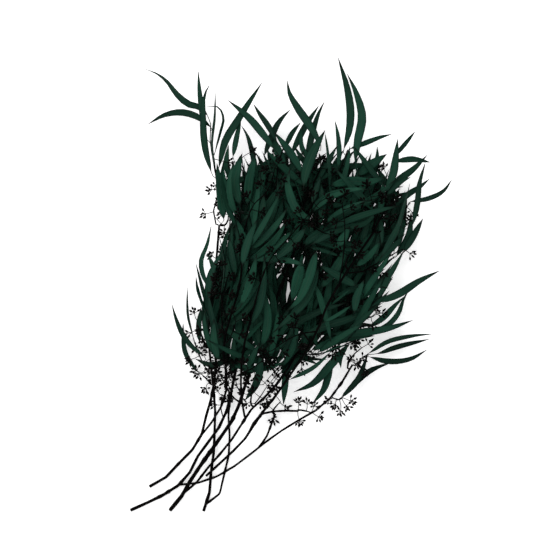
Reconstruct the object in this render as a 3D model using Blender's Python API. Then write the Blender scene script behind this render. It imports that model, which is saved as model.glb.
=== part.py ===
"""A loose bunch of seeded willow eucalyptus: forked woody branches, leafy sprays and bud sprays.

The bunch lies on a surface at Z = 0. The cut ends are at -X -Y and the foliage fans out to +Y.
Lengths in the plan below are centimetres. The mesh is in metres.
"""

import itertools
import math
import random

import bmesh
import bpy
import numpy as np
from mathutils import Vector
from mathutils.bvhtree import BVHTree

# ---- Driving dimensions, in centimetres; turns are in radians unless a line says degrees ----
CM = 0.01
LOWEST = 0.0  # the surface; several leaf tips rest on it
BRANCH_SIDES = 5
BRANCH_STEP = 2.6
TWIG_SIDES = 3
TWIG_STEP = 2.2
TWIG_RADII = (0.11, 0.07)
TWIG_CLEAR_RADII = (0.14, 0.12)
GAP = 0.04  # between a spray and the branch that it grows on
CLEARANCE = 0.05
FLAT_ENOUGH = 1e-9  # how far a patch must stand out for its fold to count
LEAF_THICKNESS = 0.07
BREADTH = 1.18  # how much wider an opened-out blade is than its width in the plan
BLADE_STATIONS = (0.16, 0.5, 0.82)
BLADE_FOOT = 0.62
BLADE_TIP = 1.0
ARCH = 0.08
LEAF_ROLL = 0.35
LEAF_TWIST = 0.4
PETIOLE_WIDTH = 0.13
PETIOLE_DEPTH = 0.105
PETIOLE_LENGTH = 1.1
SHORT_STALK = 0.8
BUD_LENGTH = 0.42
BUD_RADIUS = 0.15
BUD_CORE = 0.09
STALK_RADIUS = 0.05
STALK_LENGTH = 0.55
# Height steps and the most that a piece moves up or down to lie clear; a leaf also turns and reaches.
TWIG_LIFTS = (0.25, 3.0)
LEAF_LIFTS = (0.3, 4.2)
LEAF_TURNS = (0, 0.35, -0.35)
LEAF_REACHES = (1, 0.3, 2.2)
UMBEL_LIFTS = (0.25, 2.5)
UMBEL_LOWEST = 0.9
# Leaves that follow the rule of growth.
GROWN_SEED = 11
GROWN_TRIES = 14
GROWN_PER_SPRAY = 2
GROWN_PER_INNER_SPRAY = 5
GROWN_LOWEST = 0.35
GROWN_SLANT = (14, 44)  # degrees
GROWN_BEND = (-12, 42)  # degrees
GROWN_LENGTH = (7.5, 10.5)
GROWN_WIDTH = (0.85, 1.3)
GROWN_RISE = (-0.12, 0.2)
GROWN_DROOP = 0.22
GROWN_ROLL = 0.7
GROWN_TWIST = 0.5

# The outline of the leafy middle, in which the inner leaves grow: (x, y) going round it.
CROWN = [
    (-10.6, 18.6), (-6.2, 20.0), (-0.2, 21.4), (4.4, 19.4), (7.4, 21.6), (11, 20.0), (14.8, 17.6),
    (17.4, 14.0), (18.2, 10.5), (16.2, 5.2), (15.4, 0.8), (13.8, -3.8), (12.2, -7.2), (8.0, -9.6),
    (4.0, -12.4), (0.4, -14.6), (-3.2, -15.4), (-6.4, -14.8), (-10.0, -12.8), (-11.9, -10.6), (-13.4, -4.6),
    (-12.8, -0.8), (-11.2, 3.8), (-9.0, 9.8), (-10.6, 14.2)]

# ---- Branches: name, then forks; each is start thickness, end thickness and a route of (x, y, height) ----
BRANCHES = {
    "branch_a": [
        (0.42, 0.2, [(-21.5, -30.6, 0.2), (-20, -29.8, 0.24), (-18.8, -29, 0.4), (-17, -27, 0.6),
                     (-15, -25, 1.0), (-13.7, -23, 1.6), (-12.9, -20, 2.5), (-12.3, -18, 3.1),
                     (-11.7, -15.5, 3.8), (-11.3, -12, 4.2), (-11.6, -7, 4.4), (-11.7, -2, 4.4),
                     (-11.2, 4, 4.4), (-10.8, 9, 4.5)]),
        (0.3, 0.16, [(-13.7, -23, 1.6), (-13, -22.1, 1.9), (-11.8, -20.4, 2.5), (-10.9, -19, 3.0),
                     (-10.2, -17.5, 3.7), (-9.6, -15, 4.9), (-10.1, -9, 7.4), (-9.3, -5.5, 8.2),
                     (-8.3, -2.5, 8.4), (-7.5, 1, 8.0), (-7.2, 7, 6.8)]),
    ],
    "branch_b": [
        (0.45, 0.18, [(-24.4, -34.2, 0.215), (-23, -33.5, 0.25), (-21, -32.7, 0.3), (-19, -31.6, 0.35),
                      (-17, -30.3, 0.5), (-15.3, -28.3, 0.9), (-14.3, -26.2, 1.3), (-12, -23, 1.9),
                      (-10.2, -20.3, 2.2), (-9.6, -18.5, 2.2), (-8.6, -14, 2.7), (-6.5, -6, 4.0),
                      (-4, 3, 5.0), (-2.5, 10, 5.6)]),
        (0.16, 0.12, [(-17, -30.3, 0.5), (-15.5, -30.5, 0.3), (-14, -30, 0.14), (-12.3, -29.5, 0.12),
                      (-10, -28.4, 0.12), (-7.9, -27, 0.2), (-5, -24.7, 0.5), (-2.7, -22.9, 0.9),
                      (1, -20.5, 1.5), (5.1, -17.9, 2.1), (7.4, -15, 2.6), (8.4, -13.4, 2.8),
                      (9.2, -12, 3.0)]),
        (0.11, 0.08, [(-5, -24.7, 0.5), (-3.7, -22.9, 1.0), (-3, -21, 1.4), (-2.4, -19.5, 1.7)]),
    ],
    "branch_c": [
        (0.58, 0.2, [(-18.4, -34.2, 0.276), (-17.5, -33.1, 0.5), (-16.4, -31.7, 0.8), (-15.6, -30.2, 1.1),
                     (-14.2, -28, 1.5), (-12.1, -25, 1.8), (-10.4, -22.6, 2.2), (-8.3, -19.3, 2.8),
                     (-7.4, -16.5, 3.2), (-5.5, -11, 3.8), (-2.6, -3, 4.8), (0.4, 5, 5.8),
                     (2, 11, 6.4)]),
        (0.34, 0.18, [(-16.4, -31.7, 0.8), (-15.3, -30.9, 1.0), (-14, -29.5, 1.3), (-12.1, -27, 1.6),
                      (-10.3, -25, 1.9), (-8.2, -22.2, 2.6), (-6.3, -19, 3.6), (-3.5, -16.3, 4.8),
                      (-1.7, -14.2, 5.2), (1.2, -9.5, 5.4), (4.2, -2.5, 5.6), (6.2, 3.5, 5.8),
                      (7.5, 9, 6.0)]),
        (0.16, 0.14, [(-7.1, -20, 3.3), (-7.3, -18.2, 4.9), (-7.5, -15.5, 6.6), (-7.5, -13, 7.8),
                      (-7.2, -10, 8.8), (-6.6, -7, 9.2), (-6, -5, 9.2)]),
    ],
    "branch_d": [
        (0.42, 0.18, [(-13.3, -34.3, 0.2), (-12.8, -33.4, 0.4), (-12.5, -32.3, 0.6), (-12.3, -30, 0.75),
                      (-12.1, -28, 0.8), (-11.7, -25, 0.85), (-11.6, -22, 1.0), (-11.5, -19, 1.5),
                      (-11.8, -15, 2.3), (-12.2, -11, 2.9), (-12.6, -7, 3.0)]),
        (0.17, 0.12, [(-12.8, -33.4, 0.4), (-11.5, -33, 0.2), (-10.8, -31.5, 0.14), (-10.4, -29.8, 0.3),
                      (-10.1, -28.4, 0.5), (-9.5, -26, 0.5), (-9.3, -23.5, 0.8), (-9.5, -21, 1.1),
                      (-9.4, -18, 1.2), (-8.9, -15, 1.3), (-8, -11, 1.6)]),
    ],
    "branch_e": [
        (0.36, 0.14, [(-12.9, -28.9, 1.35), (-12, -28, 1.4), (-10, -26.3, 1.5), (-8.5, -24.8, 1.9),
                      (-6.6, -22.7, 2.7), (-5, -20, 4.0), (-2.5, -16.7, 6.3), (0.4, -12.4, 8.6),
                      (2, -10, 9.6), (3.7, -6.8, 10.5), (5.3, -2.8, 11.0), (7, 0.2, 10.6),
                      (9.3, 3.7, 9.4), (12.3, 8, 7.6)]),
        (0.15, 0.1, [(-6.4, -22.4, 2.8), (-5.6, -20.6, 2.8), (-4.6, -19.5, 2.4), (-2, -19, 2.4),
                     (1, -19, 2.4)]),
    ],
}

# ---- Leafy sprays: name: (twig route, leaves); a leaf is (width, height at base, height at tip, route) ----
# A leaf may end with its own twist, in radians from base to tip.
SPRAYS = {
    "spray_top_left": (
        [(-10.9, 10.5, 4.4), (-11, 14, 4.6), (-11.6, 18, 4.4), (-12.2, 21.5, 4.0), (-12.1, 24.3, 3.6)], [
            (1.0, 3.4, 1.2, [(-12.1, 24.9), (-13.6, 26.7), (-15.3, 27.2), (-17, 28.6), (-18.9, 31),
                             (-20.3, 32), (-22.6, 32.8)], 1.5),
            (0.9, 3.2, 0.0, [(-12.2, 23.8), (-13.7, 25.1), (-16.8, 26.1), (-19, 25.8), (-21.8, 24.4)]),
            (0.75, 4.4, 3.5, [(-12.8, 22.5), (-13.4, 26), (-13.8, 29.4), (-14, 32.3)]),
            (0.9, 5.2, 4.5, [(-12, 17), (-12.8, 20), (-13.2, 25), (-12.9, 28.7), (-12.2, 30.1)]),
            (1.05, 5.6, 4.0, [(-11.3, 17.3), (-12, 21), (-11.6, 25), (-11.4, 29)]),
            (0.35, 3.4, 2.4, [(-11.4, 20.2), (-10.6, 23.2), (-10.2, 25), (-11, 26.8), (-12.8, 26.9)]),
            (1.25, 6.2, 6.6, [(-10.1, 9.9), (-10.6, 14), (-11.1, 18.2)]),
            (1.05, 5.0, 2.2, [(-10.8, 17.7), (-9.7, 21.9), (-8.5, 23.9), (-6.1, 27.8), (-4.3, 30.7)]),
        ]),
    "spray_upper_left": (
        [(-7.4, 8.5, 6.4), (-7.3, 12, 6.0), (-7, 15.5, 5.6), (-7.4, 19, 5.0)], [
            (0.75, 5.2, 3.6, [(-8.7, 19.3), (-8, 22.9), (-7.5, 25)]),
            (0.7, 5.8, 4.4, [(-5.5, 17), (-5.8, 19.6), (-6.7, 22.6), (-7.5, 23.9)]),
            (1.5, 7.8, 7.2, [(-7.6, 12), (-8.5, 15), (-8, 17.5), (-7.3, 19.6)]),
            (1.35, 8.4, 7.8, [(-6.5, 12), (-6.3, 15), (-5.3, 19.5)]),
            (1.0, 7.2, 6.4, [(-5.4, 13.5), (-5.4, 16.5), (-5.3, 19)]),
            (0.85, 9.0, 8.2, [(-5.2, 12.4), (-4.2, 16), (-4.3, 18.4)]),
            (0.8, 5.2, 4.6, [(-9, 15.5), (-9.7, 18), (-9.4, 21)]),
        ]),
    "spray_upper_middle": (
        [(-2.5, 11, 5.6), (-2.3, 14.5, 6.4), (-2, 18, 6.0), (-1.2, 20.6, 5.4)], [
            (1.0, 6.6, 2.6, [(-2.6, 20.3), (-4, 22.2), (-6.1, 24.8), (-9.6, 27.9)]),
            (0.75, 5.2, 2.6, [(-2.2, 21.5), (-3.5, 23.9), (-5, 26.1), (-5.7, 27.3)]),
            (0.85, 4.8, 2.4, [(-4, 19.5), (-3.1, 21.9), (-1.8, 24.6), (-0.1, 26.5)]),
            (0.95, 8.4, 7.6, [(-2.4, 14.9), (-3.3, 17.6), (-3.6, 20)]),
            (1.2, 8.0, 5.0, [(1.6, 16.7), (0.3, 19), (-1, 20.9), (-2.6, 22.9)]),
            (1.2, 7.0, 4.6, [(-1.0, 17.4), (-2, 20), (-2.9, 22.4)]),
            (0.7, 4.6, 3.4, [(-1, 20.6), (0.2, 22.9), (1.4, 24.4)]),
            (0.85, 5.4, 2.4, [(0, 19.6), (1.8, 23.3), (4.2, 27.1)]),
        ]),
    "spray_top_middle": (
        [(2.1, 11.6, 6.4), (2.4, 14, 7.0), (2.6, 17, 6.6), (3.6, 20.3, 6.0)], [
            (1.05, 7.2, 3.0, [(4.3, 20.9), (2.9, 23.5), (0.7, 26.9), (-0.3, 28.8), (-0.6, 30.9)]),
            (0.85, 5.2, 2.8, [(2.2, 17), (2.6, 20), (3.3, 23.3), (4.2, 26), (5.1, 27.8)]),
            (1.35, 9.0, 7.4, [(1.8, 14.6), (2.1, 16.6), (2.9, 19), (5, 23)]),
            (1.05, 7.6, 6.6, [(1.5, 12.3), (0.8, 14.6), (0.2, 17)]),
            (0.85, 8.0, 7.4, [(3.1, 12.2), (3.6, 14), (4.4, 16.2)]),
            (0.7, 5.6, 4.6, [(3.4, 18), (1.6, 20.4), (1.6, 24)]),
        ]),
    "spray_top_right": (
        [(7.2, 8.6, 6.0), (6.6, 12, 6.6), (7.1, 16.5, 6.2), (8.4, 20.2, 5.4)], [
            (1.35, 8.8, 7.2, [(5.8, 12.2), (5.6, 15), (5.4, 18), (5, 22.5)]),
            (0.7, 6.2, 4.0, [(7, 17.5), (7.1, 20), (6.8, 23.3), (6.5, 24.8)]),
            (1.05, 5.0, 0.0, [(7.9, 20.5), (8.7, 23.3), (8.9, 25.5), (8.4, 29.9), (7.5, 33.2), (7.1, 34.6)]),
            (1.15, 6.2, 2.2, [(9.5, 18.4), (9.9, 21.5), (10.6, 25), (9.7, 29), (8.4, 31.9)]),
            (0.7, 5.2, 3.2, [(8.9, 20.4), (11.6, 21.5), (13.4, 22.2), (15.2, 22.7)]),
            (1.3, 9.0, 7.2, [(5.8, 14.7), (8, 15.3), (12, 15.4), (14.2, 16.1)]),
            (1.1, 7.4, 6.6, [(5.9, 11.6), (8, 12.6), (10.4, 14.4)]),
        ]),
    "spray_upper_right": (
        [(8.3, 8.8, 6.0), (9.6, 13, 5.8), (10.4, 16.5, 5.4), (11.6, 18.6, 4.8)], [
            (1.25, 7.4, 6.6, [(9.8, 14.8), (9.5, 18), (9.4, 20.8)]),
            (1.25, 6.6, 4.8, [(9.8, 16.3), (12, 18), (14.3, 19.6)]),
            (0.35, 4.6, 4.0, [(11.4, 17), (11.6, 18.4), (12, 19.8)]),
            (0.6, 4.8, 3.8, [(11.9, 17), (12.8, 19), (12.9, 20.8)]),
            (1.0, 5.6, 4.6, [(10.6, 14.4), (11.9, 17), (13.4, 18.4)]),
        ]),
    "spray_right_top": (
        [(11.9, 8.6, 7.4), (13.2, 11, 6.8), (14.1, 13.2, 6.2), (15, 16.6, 5.2), (15.4, 18.6, 4.6)], [
            (1.05, 6.8, 5.0, [(14, 13.8), (15.2, 16.7), (15.5, 18.5), (15.9, 21.9)]),
            (0.6, 4.2, 2.6, [(15.5, 19.3), (17.6, 21.8), (18.7, 23.2)]),
            (0.8, 3.8, 2.2, [(15.7, 18.6), (18.3, 18.9), (21, 18.5)]),
            (0.9, 5.4, 3.0, [(14.3, 13.8), (15.8, 15.5), (18.3, 17.4), (20.5, 19.6)]),
            (0.7, 6.0, 4.8, [(14.2, 13.4), (16.4, 15.4), (17.8, 16.1)]),
            (0.3, 5.2, 4.6, [(14.4, 13.3), (16, 13.5), (17.3, 13.9)]),
            (0.9, 7.6, 6.8, [(12.7, 9.6), (13.3, 12), (13.6, 15.4)]),
        ]),
    "spray_right_upper": (
        [(12.6, 7.4, 7.0), (14.6, 8.6, 6.6), (16.3, 10.8, 5.6), (17.8, 12.3, 4.8)], [
            (0.9, 6.8, 4.2, [(18, 9), (18.7, 12.1), (19.1, 15.2), (20.1, 18.4)]),
            (0.8, 6.0, 3.4, [(15.3, 11.6), (17.1, 13.3), (19.5, 14.9), (20.8, 16)]),
            (0.65, 4.6, 0.0, [(18, 12.5), (20.6, 13), (23, 14.2), (24.4, 16)]),
            (0.75, 7.6, 6.4, [(13.4, 6), (13.3, 8.5), (13.3, 11.6)]),
            (0.9, 5.4, 4.2, [(15.6, 7), (15.2, 10), (15.9, 13.6)]),
        ]),
    "spray_right_middle": (
        [(8.5, 1.6, 9.2), (10.6, 2, 7.4), (12.6, 3.2, 6.6), (15, 4.4, 5.8), (16.6, 5.4, 5.2)], [
            (1.0, 8.2, 5.6, [(13.2, 4), (14.5, 6.3), (15.7, 8.5), (16.4, 10.7), (17.7, 15.2)]),
            (1.05, 7.4, 5.6, [(11.7, 2), (12.8, 3.5), (14, 4.8), (15.3, 5.8), (17, 7.7)]),
            (0.9, 5.0, 3.2, [(16.9, 5), (17.5, 6), (18.8, 8.2), (19.8, 10)]),
            (1.15, 8.8, 7.6, [(9.8, 4.5), (11.1, 6.2), (12.7, 8.2)]),
            (0.9, 4.8, 3.6, [(15.8, 4.4), (17.6, 7.4), (18, 11)]),
            (1.0, 8.4, 7.4, [(9.6, 2.8), (11.4, 4.2), (13.2, 6.6)]),
        ]),
    "spray_right": (
        [(4.9, -2.4, 5.6), (8, -3.4, 6.4), (10.4, -3, 6.2), (12.2, -2.5, 5.6)], [
            (1.0, 5.6, 0.0, [(12.2, -2.4), (14.2, -2.1), (16, -1.4), (19.3, 0.6), (22.6, 2.2)]),
            (0.95, 6.6, 4.8, [(12.8, -2), (13.7, -0.4), (14.3, 1), (15.9, 3.6), (16.9, 5.3)]),
            (1.05, 8.6, 8.0, [(9.3, -4), (9.6, -2), (10.8, 0.9)]),
            (1.1, 8.4, 9.6, [(9.5, -0.1), (7, 1.3), (4, 3)]),
            (0.9, 7.2, 5.8, [(10.6, -2), (12.2, 0), (12.8, 3)]),
            (0.85, 7.8, 8.6, [(6, -2.9), (7.4, -1.8), (8.9, -0.4)]),
        ]),
    "spray_right_lower": (
        [(1.6, -9, 5.5), (4.5, -8.6, 5.8), (8, -7.6, 5.2), (11.3, -6.6, 4.4)], [
            (0.7, 3.8, 2.6, [(12.5, -6.8), (14.5, -6), (16.1, -4.2), (17, -1.9), (17.7, -0.9)]),
            (0.8, 4.8, 3.4, [(11.6, -6.3), (13.5, -5.1), (15.7, -2.9), (17, -1.7)]),
            (1.15, 8.6, 6.0, [(1.1, -7.9), (5, -6.1), (9, -4.9), (13, -2.8)]),
            (1.15, 7.2, 4.8, [(3.2, -9.6), (6, -8.4), (9, -7.8), (12.5, -7.6)]),
            (1.05, 6.4, 1.6, [(6, -7.3), (9, -7.2), (12, -6.9), (14.5, -6.5), (18.4, -5.3)]),
            (0.5, 9.8, 9.2, [(5.2, -5.2), (7, -4.2), (8.9, -2.9)]),
        ]),
    "spray_bottom_right": (
        [(9.4, -11.4, 3.0), (10.6, -10.9, 2.8), (11.7, -10.5, 2.5)], [
            (0.7, 2.8, 1.0, [(11.8, -10.2), (14.3, -8.6), (18, -7.7), (21.6, -7.4)]),
            (0.7, 2.4, 0.5, [(12.3, -10.6), (15.5, -9.5), (21, -8.2)]),
            (0.8, 2.0, 0.0, [(12, -10.9), (14.5, -11.5), (18, -11.2), (20.7, -9.8)]),
        ]),
    "spray_bottom_right_low": (
        [(6.5, -17.1, 2.3), (7.3, -17.3, 2.2), (7.8, -17, 2.2)], [
            (0.9, 2.0, 0.9, [(7.7, -17), (9.5, -15), (12, -13), (15.3, -11.7)]),
            (0.8, 2.8, 2.4, [(7.6, -16.9), (10, -14.2), (11.6, -10.2)]),
        ]),
    "spray_bottom_middle": (
        [(1.2, -10.2, 5.3), (3.4, -10.4, 6.2), (6, -9.8, 6.4), (9.2, -8.3, 6.2)], [
            (1.1, 6.8, 3.4, [(8.5, -8.8), (5.8, -12), (3.2, -14.8), (0.3, -16.1)]),
            (1.05, 6.0, 3.0, [(6, -11.2), (5.6, -13.5), (5, -15.5), (3.1, -18)]),
            (0.6, 7.4, 7.2, [(0, -13.9), (3.2, -12.3), (6, -9.8)]),
            (0.7, 5.8, 5.2, [(8.1, -9.1), (7.3, -10.8), (7.4, -12.4)]),
            (1.05, 8.0, 7.6, [(4.7, -10.2), (6.4, -9.4), (8.4, -8.9)]),
        ]),
    "spray_bottom_left": (
        [(-1.9, -13.8, 5.2), (-3.4, -11.6, 6.2), (-5, -9.4, 7.0)], [
            (0.9, 5.0, 4.0, [(-0.8, -12.6), (-1, -15.5), (-1.2, -18)]),
            (1.0, 5.4, 3.4, [(-4.6, -12.2), (-5.4, -15), (-7, -17.4)]),
            (1.05, 7.6, 8.2, [(-5, -14.5), (-4.6, -12), (-4.4, -9.2)]),
            (0.9, 8.2, 8.6, [(-6.5, -12.3), (-5.7, -10.6), (-4.8, -8.6)]),
            (1.0, 8.8, 9.6, [(-6.3, -6.1), (-4.8, -3.5), (-4.1, 0), (-4, 4.6)]),
            (1.0, 8.0, 8.6, [(-3.4, -5.9), (-3.7, -3.4), (-3.9, -0.8)]),
            (1.1, 6.0, 4.6, [(-2.6, -10.8), (-4.6, -7.6), (-7.4, -5.4)]),
            (1.0, 7.6, 8.0, [(-0.5, -8), (0.3, -6.3), (3.5, -4.2), (8.2, -2.6)]),
        ]),
    "spray_centre": (
        [(1.3, 8, 6.1), (1.6, 6, 8.4), (2.4, 3.8, 9.4), (3.2, 1.4, 9.6), (3.4, -1, 9.4)], [
            (1.6, 10.6, 10.0, [(1.5, 3.2), (0.7, 0), (0, -2.7)]),
            (1.25, 11.6, 10.8, [(3.6, 4.9), (2.5, 1), (1, -2.2), (-0.8, -4)]),
            (1.15, 10.4, 9.6, [(3.9, 2.5), (2.2, -2), (-0.3, -4.8), (-2.7, -7)]),
            (1.25, 8.8, 7.6, [(1.4, 5.2), (4.5, 8), (7, 11.4)]),
            (1.05, 9.8, 8.2, [(3, 6), (7, 8.2), (11, 9.2), (13.3, 11.5)]),
            (0.6, 9.2, 8.6, [(2.8, 5.6), (5, 5), (7.4, 4.2)]),
            (1.2, 8.4, 7.2, [(4.4, -0.4), (6.8, 2.8), (8.6, 7)]),
            (1.15, 10.2, 9.2, [(6.4, 5.4), (7.6, 6.9), (8.6, 8.7)]),
        ]),
    "spray_centre_top": (
        [(2.3, 11.9, 6.3), (2.9, 10.2, 8.2), (3.3, 8.4, 9.2), (5, 7.6, 9.6)], [
            (1.15, 10.4, 9.4, [(2.7, 9.7), (1.1, 10.7), (-0.3, 13.5), (-0.6, 15), (-0.2, 17.2)]),
            (1.15, 11.0, 10.4, [(2, 8.3), (-0.5, 5.4), (-3.6, 2.9)]),
            (0.7, 10.2, 10.0, [(-0.1, 7.8), (-2.6, 5.3), (-4, 3.6)]),
            (1.0, 8.6, 7.2, [(4.2, 9), (4.6, 12), (4.2, 15.6)]),
        ]),
    "spray_centre_left": (
        [(-7.4, 4.5, 7.3), (-7, 3.2, 8.6), (-6.6, 5.4, 9.0), (-5.2, 7.8, 9.0)], [
            (1.05, 9.8, 9.0, [(-3.9, 9), (-4.2, 11.2), (-4.1, 13.4)]),
            (1.1, 10.4, 9.4, [(-7.2, 3), (-6.7, 5.5), (-5, 9.8)]),
            (0.9, 8.6, 7.4, [(-6.3, 5), (-7.4, 8), (-8.3, 10)]),
            (1.1, 8.0, 6.8, [(-4.8, 7), (-2.2, 9.6), (-1.2, 13)]),
        ]),
    "spray_left_middle": (
        [(-9.9, -7.2, 7.7), (-10.4, -4.4, 7.0), (-10.2, -1.4, 6.6), (-9.4, 1.6, 6.4)], [
            (1.05, 8.4, 7.2, [(-10.6, -2.4), (-10.1, 1.3), (-10, 3.1), (-10.8, 7.6)]),
            (0.95, 9.0, 7.8, [(-9.7, -3.2), (-8.9, 0.5), (-9.7, 5.1)]),
            (0.95, 7.6, 6.6, [(-8.3, 1.5), (-8.7, 3.5), (-9.2, 7.2)]),
            (0.8, 5.8, 5.4, [(-10.4, 1.6), (-10.2, 5), (-9.2, 9)]),
            (1.15, 9.4, 9.8, [(-7.4, -2.9), (-6, 0.7), (-5.1, 4.6)]),
        ]),
    "spray_left": (
        [(-12.1, -10.4, 3.9), (-12.3, -7.2, 4.6), (-12.3, -4.2, 4.8), (-12, -1, 4.6)], [
            (0.7, 5.2, 3.8, [(-12.3, -0.5), (-13.3, 1.9), (-13.5, 3.4), (-12.6, 6), (-12, 9)]),
            (0.65, 5.6, 4.6, [(-11.3, 0.5), (-11.8, 3), (-12.6, 4.8)]),
            (0.5, 4.4, 3.0, [(-12.4, -4), (-13.5, 0), (-14.4, 3.4)]),
            (1.15, 6.4, 4.6, [(-12.2, -5.1), (-13.1, -3.4), (-14.1, -0.4), (-14.3, 1.4)]),
            (1.15, 7.6, 7.2, [(-10.9, -11), (-11.5, -8), (-11.5, -5)]),
            (0.75, 3.2, 2.4, [(-13.8, -8.5), (-13.9, -6), (-13.6, -3.3)]),
        ]),
    "spray_far_left": (
        [(-12.3, -13.2, 2.6), (-13.4, -11.6, 2.6), (-14.3, -9.6, 2.3), (-14.8, -8, 2.0)], [
            (0.35, 2.2, 1.6, [(-14.9, -7.5), (-15.6, -4.6), (-15.7, -3.1), (-15.7, -0.2)]),
            (0.7, 3.6, 0.9, [(-13.3, -10.5), (-14.5, -9.7), (-16.3, -7.6), (-17.5, -4.9), (-18.1, -2.8)]),
            (0.65, 2.0, 0.0, [(-14.4, -12.8), (-16, -10.3), (-16.4, -7.6), (-16.4, -5.8)]),
        ]),
    "spray_left_low": (
        [(-9.7, -14.4, 5.3), (-9.9, -12.2, 5.0), (-9.4, -10, 5.0)], [
            (0.8, 4.4, 2.8, [(-9.2, -11.2), (-12, -12), (-14.5, -11.1)]),
            (0.75, 6.6, 6.6, [(-8.5, -11.2), (-8.6, -9.3), (-8.5, -7.2)]),
            (1.0, 5.4, 4.6, [(-10.2, -11), (-10.8, -7.6), (-10.2, -4)]),
            (0.9, 6.0, 5.4, [(-8.8, -9.6), (-7.8, -6), (-8.2, -2)]),
        ]),
    # Inner sprays: their leaves follow the rule of growth only.
    "spray_inner_a": ([(-11.2, 2.5, 4.4), (-9.6, 5.6, 3.6), (-9.2, 10, 3.4), (-9.6, 13, 3.4)], []),
    "spray_inner_b": ([(-5, -0.4, 4.6), (-6.6, 3.4, 3.8), (-5.9, 8.4, 3.6), (-5.2, 12, 3.4)], []),
    "spray_inner_c": ([(-3, 8, 5.5), (-1, 11.4, 3.6), (-0.4, 15.4, 3.4)], []),
    "spray_inner_d": ([(-0.9, 1.6, 5.4), (0.8, 6.6, 3.2), (1.8, 11.4, 3.0), (3.6, 14.6, 3.0)], []),
    "spray_inner_e": ([(4.7, -1.2, 5.6), (8.4, 3.8, 3.4), (10.4, 8, 3.2), (11.6, 12, 3.2)], []),
    "spray_inner_f": ([(2.8, -5.8, 5.5), (7.2, -3.6, 3.6), (11.6, 0, 3.2)], []),
    "spray_inner_g": ([(-3.9, -7, 4.3), (-1.4, -3.6, 2.8), (2.4, 0.6, 2.4), (5, 5, 2.4)], []),
    "spray_inner_h": ([(-7.5, -9.6, 3.3), (-8.6, -6, 3.6), (-8.6, -2, 3.6), (-8, 1.6, 3.6)], []),
    "spray_inner_i": ([(6.4, 5, 5.8), (5.2, 9, 3.8), (7.4, 13, 3.4), (9, 15.6, 3.2)], []),
    "spray_inner_j": ([(-4.7, -9, 4.1), (-3.2, -7.6, 1.8), (1.4, -6.6, 1.6), (5.6, -5.2, 1.6)], []),
}

# ---- Bud sprays: name: (twig route, umbel centres) ----
BUD_SPRAYS = {
    "buds_hanging_low": (
        [(-2.3, -19.1, 1.8), (-2.2, -18.2, 1.9), (-1.6, -17.6, 2.0)],
        [(-3.3, -18.4, 1.6), (-1, -18.4, 1.5), (-2.8, -16.3, 2.2), (-2.7, -20.2, 1.4)]),
    "buds_twig_end": (
        [(1.2, -19, 2.4), (2.2, -19, 2.3), (3.2, -19.3, 2.2)],
        [(1.1, -17.8, 2.6), (1.2, -20.4, 2.0), (2.4, -18, 2.4), (3.4, -18.3, 2.8), (4.1, -19.9, 1.9)]),
    "buds_bottom_right": (
        [(8.6, -12.6, 3.0), (9.4, -10.4, 3.6), (10.6, -9.4, 3.8)],
        [(9.6, -11.9, 4.0), (10.1, -8.7, 3.4), (11.5, -8.9, 3.6)]),
    "buds_right": (
        [(9.2, -3.6, 6.6), (10.6, -4.6, 5.4), (12, -4.8, 5.0)],
        [(12.6, -4.2, 5.2), (13.5, -4.2, 4.6), (12.2, -5.8, 5.2), (10.4, -5.6, 5.6)]),
    "buds_far_left": (
        [(-12.5, -9.2, 3.0), (-13.6, -7.2, 2.2), (-14.2, -5.4, 2.2)],
        [(-14.6, -4.3, 2.2), (-15.2, -7.2, 1.8), (-12.9, -6, 2.0)]),
    "buds_low_left": (
        [(-11.9, -15, 2.2), (-12.6, -14.4, 1.6), (-13.4, -13.7, 1.2)],
        [(-14.3, -13, 1.2), (-12.9, -15.6, 1.2), (-12.6, -13.3, 1.7)]),
    "buds_neck": (
        [(-8.3, -17.4, 2.4), (-9.2, -16.4, 2.1), (-9.9, -15.2, 2.0)],
        [(-9.3, -17.2, 1.6), (-10.8, -14.5, 2.2), (-8.9, -14.6, 2.3)]),
    "buds_neck_right": (
        [(-5.6, -18.3, 4.0), (-6, -16.8, 5.2), (-5.8, -15.2, 5.6)],
        [(-6.6, -17.7, 5.2), (-4.7, -17.8, 4.8), (-6.4, -14.4, 6.0)]),
    "buds_upper_left": (
        [(-10.7, 9.4, 4.6), (-9.7, 9, 5.2), (-9.4, 10.6, 5.4)],
        [(-9.9, 7.6, 5.2), (-8.6, 9.6, 5.0), (-9, 12, 5.2), (-10.3, 10.6, 6.0)]),
    "buds_right_top": (
        [(12.9, 10.2, 7.1), (14.2, 11.2, 7.8), (15.2, 12, 7.8)],
        [(14, 12.5, 7.8), (15.7, 12.9, 7.2), (14.7, 10.2, 8.2)]),
    "buds_top": (
        [(2.5, 15.4, 6.8), (3.6, 16.4, 7.2), (4.4, 17.4, 7.0)],
        [(4.4, 18.5, 6.8), (3.4, 17.2, 8.0), (5.3, 17.2, 6.6)]),
    "buds_centre": (
        [(2.8, -8.4, 10.2), (1.2, -6.4, 9.8), (-0.4, -6.2, 9.6)],
        [(-1.2, -5.4, 9.8), (0.6, -5, 10.4), (-1.2, -7.4, 9.6)]),
    "buds_centre_right": (
        [(8.2, 2.2, 9.8), (8.2, 3.9, 10.0), (9, 5.2, 9.8)],
        [(9.6, 5.8, 9.6), (7.4, 4.9, 10.4), (9.9, 4.7, 10.0)]),
}


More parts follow.
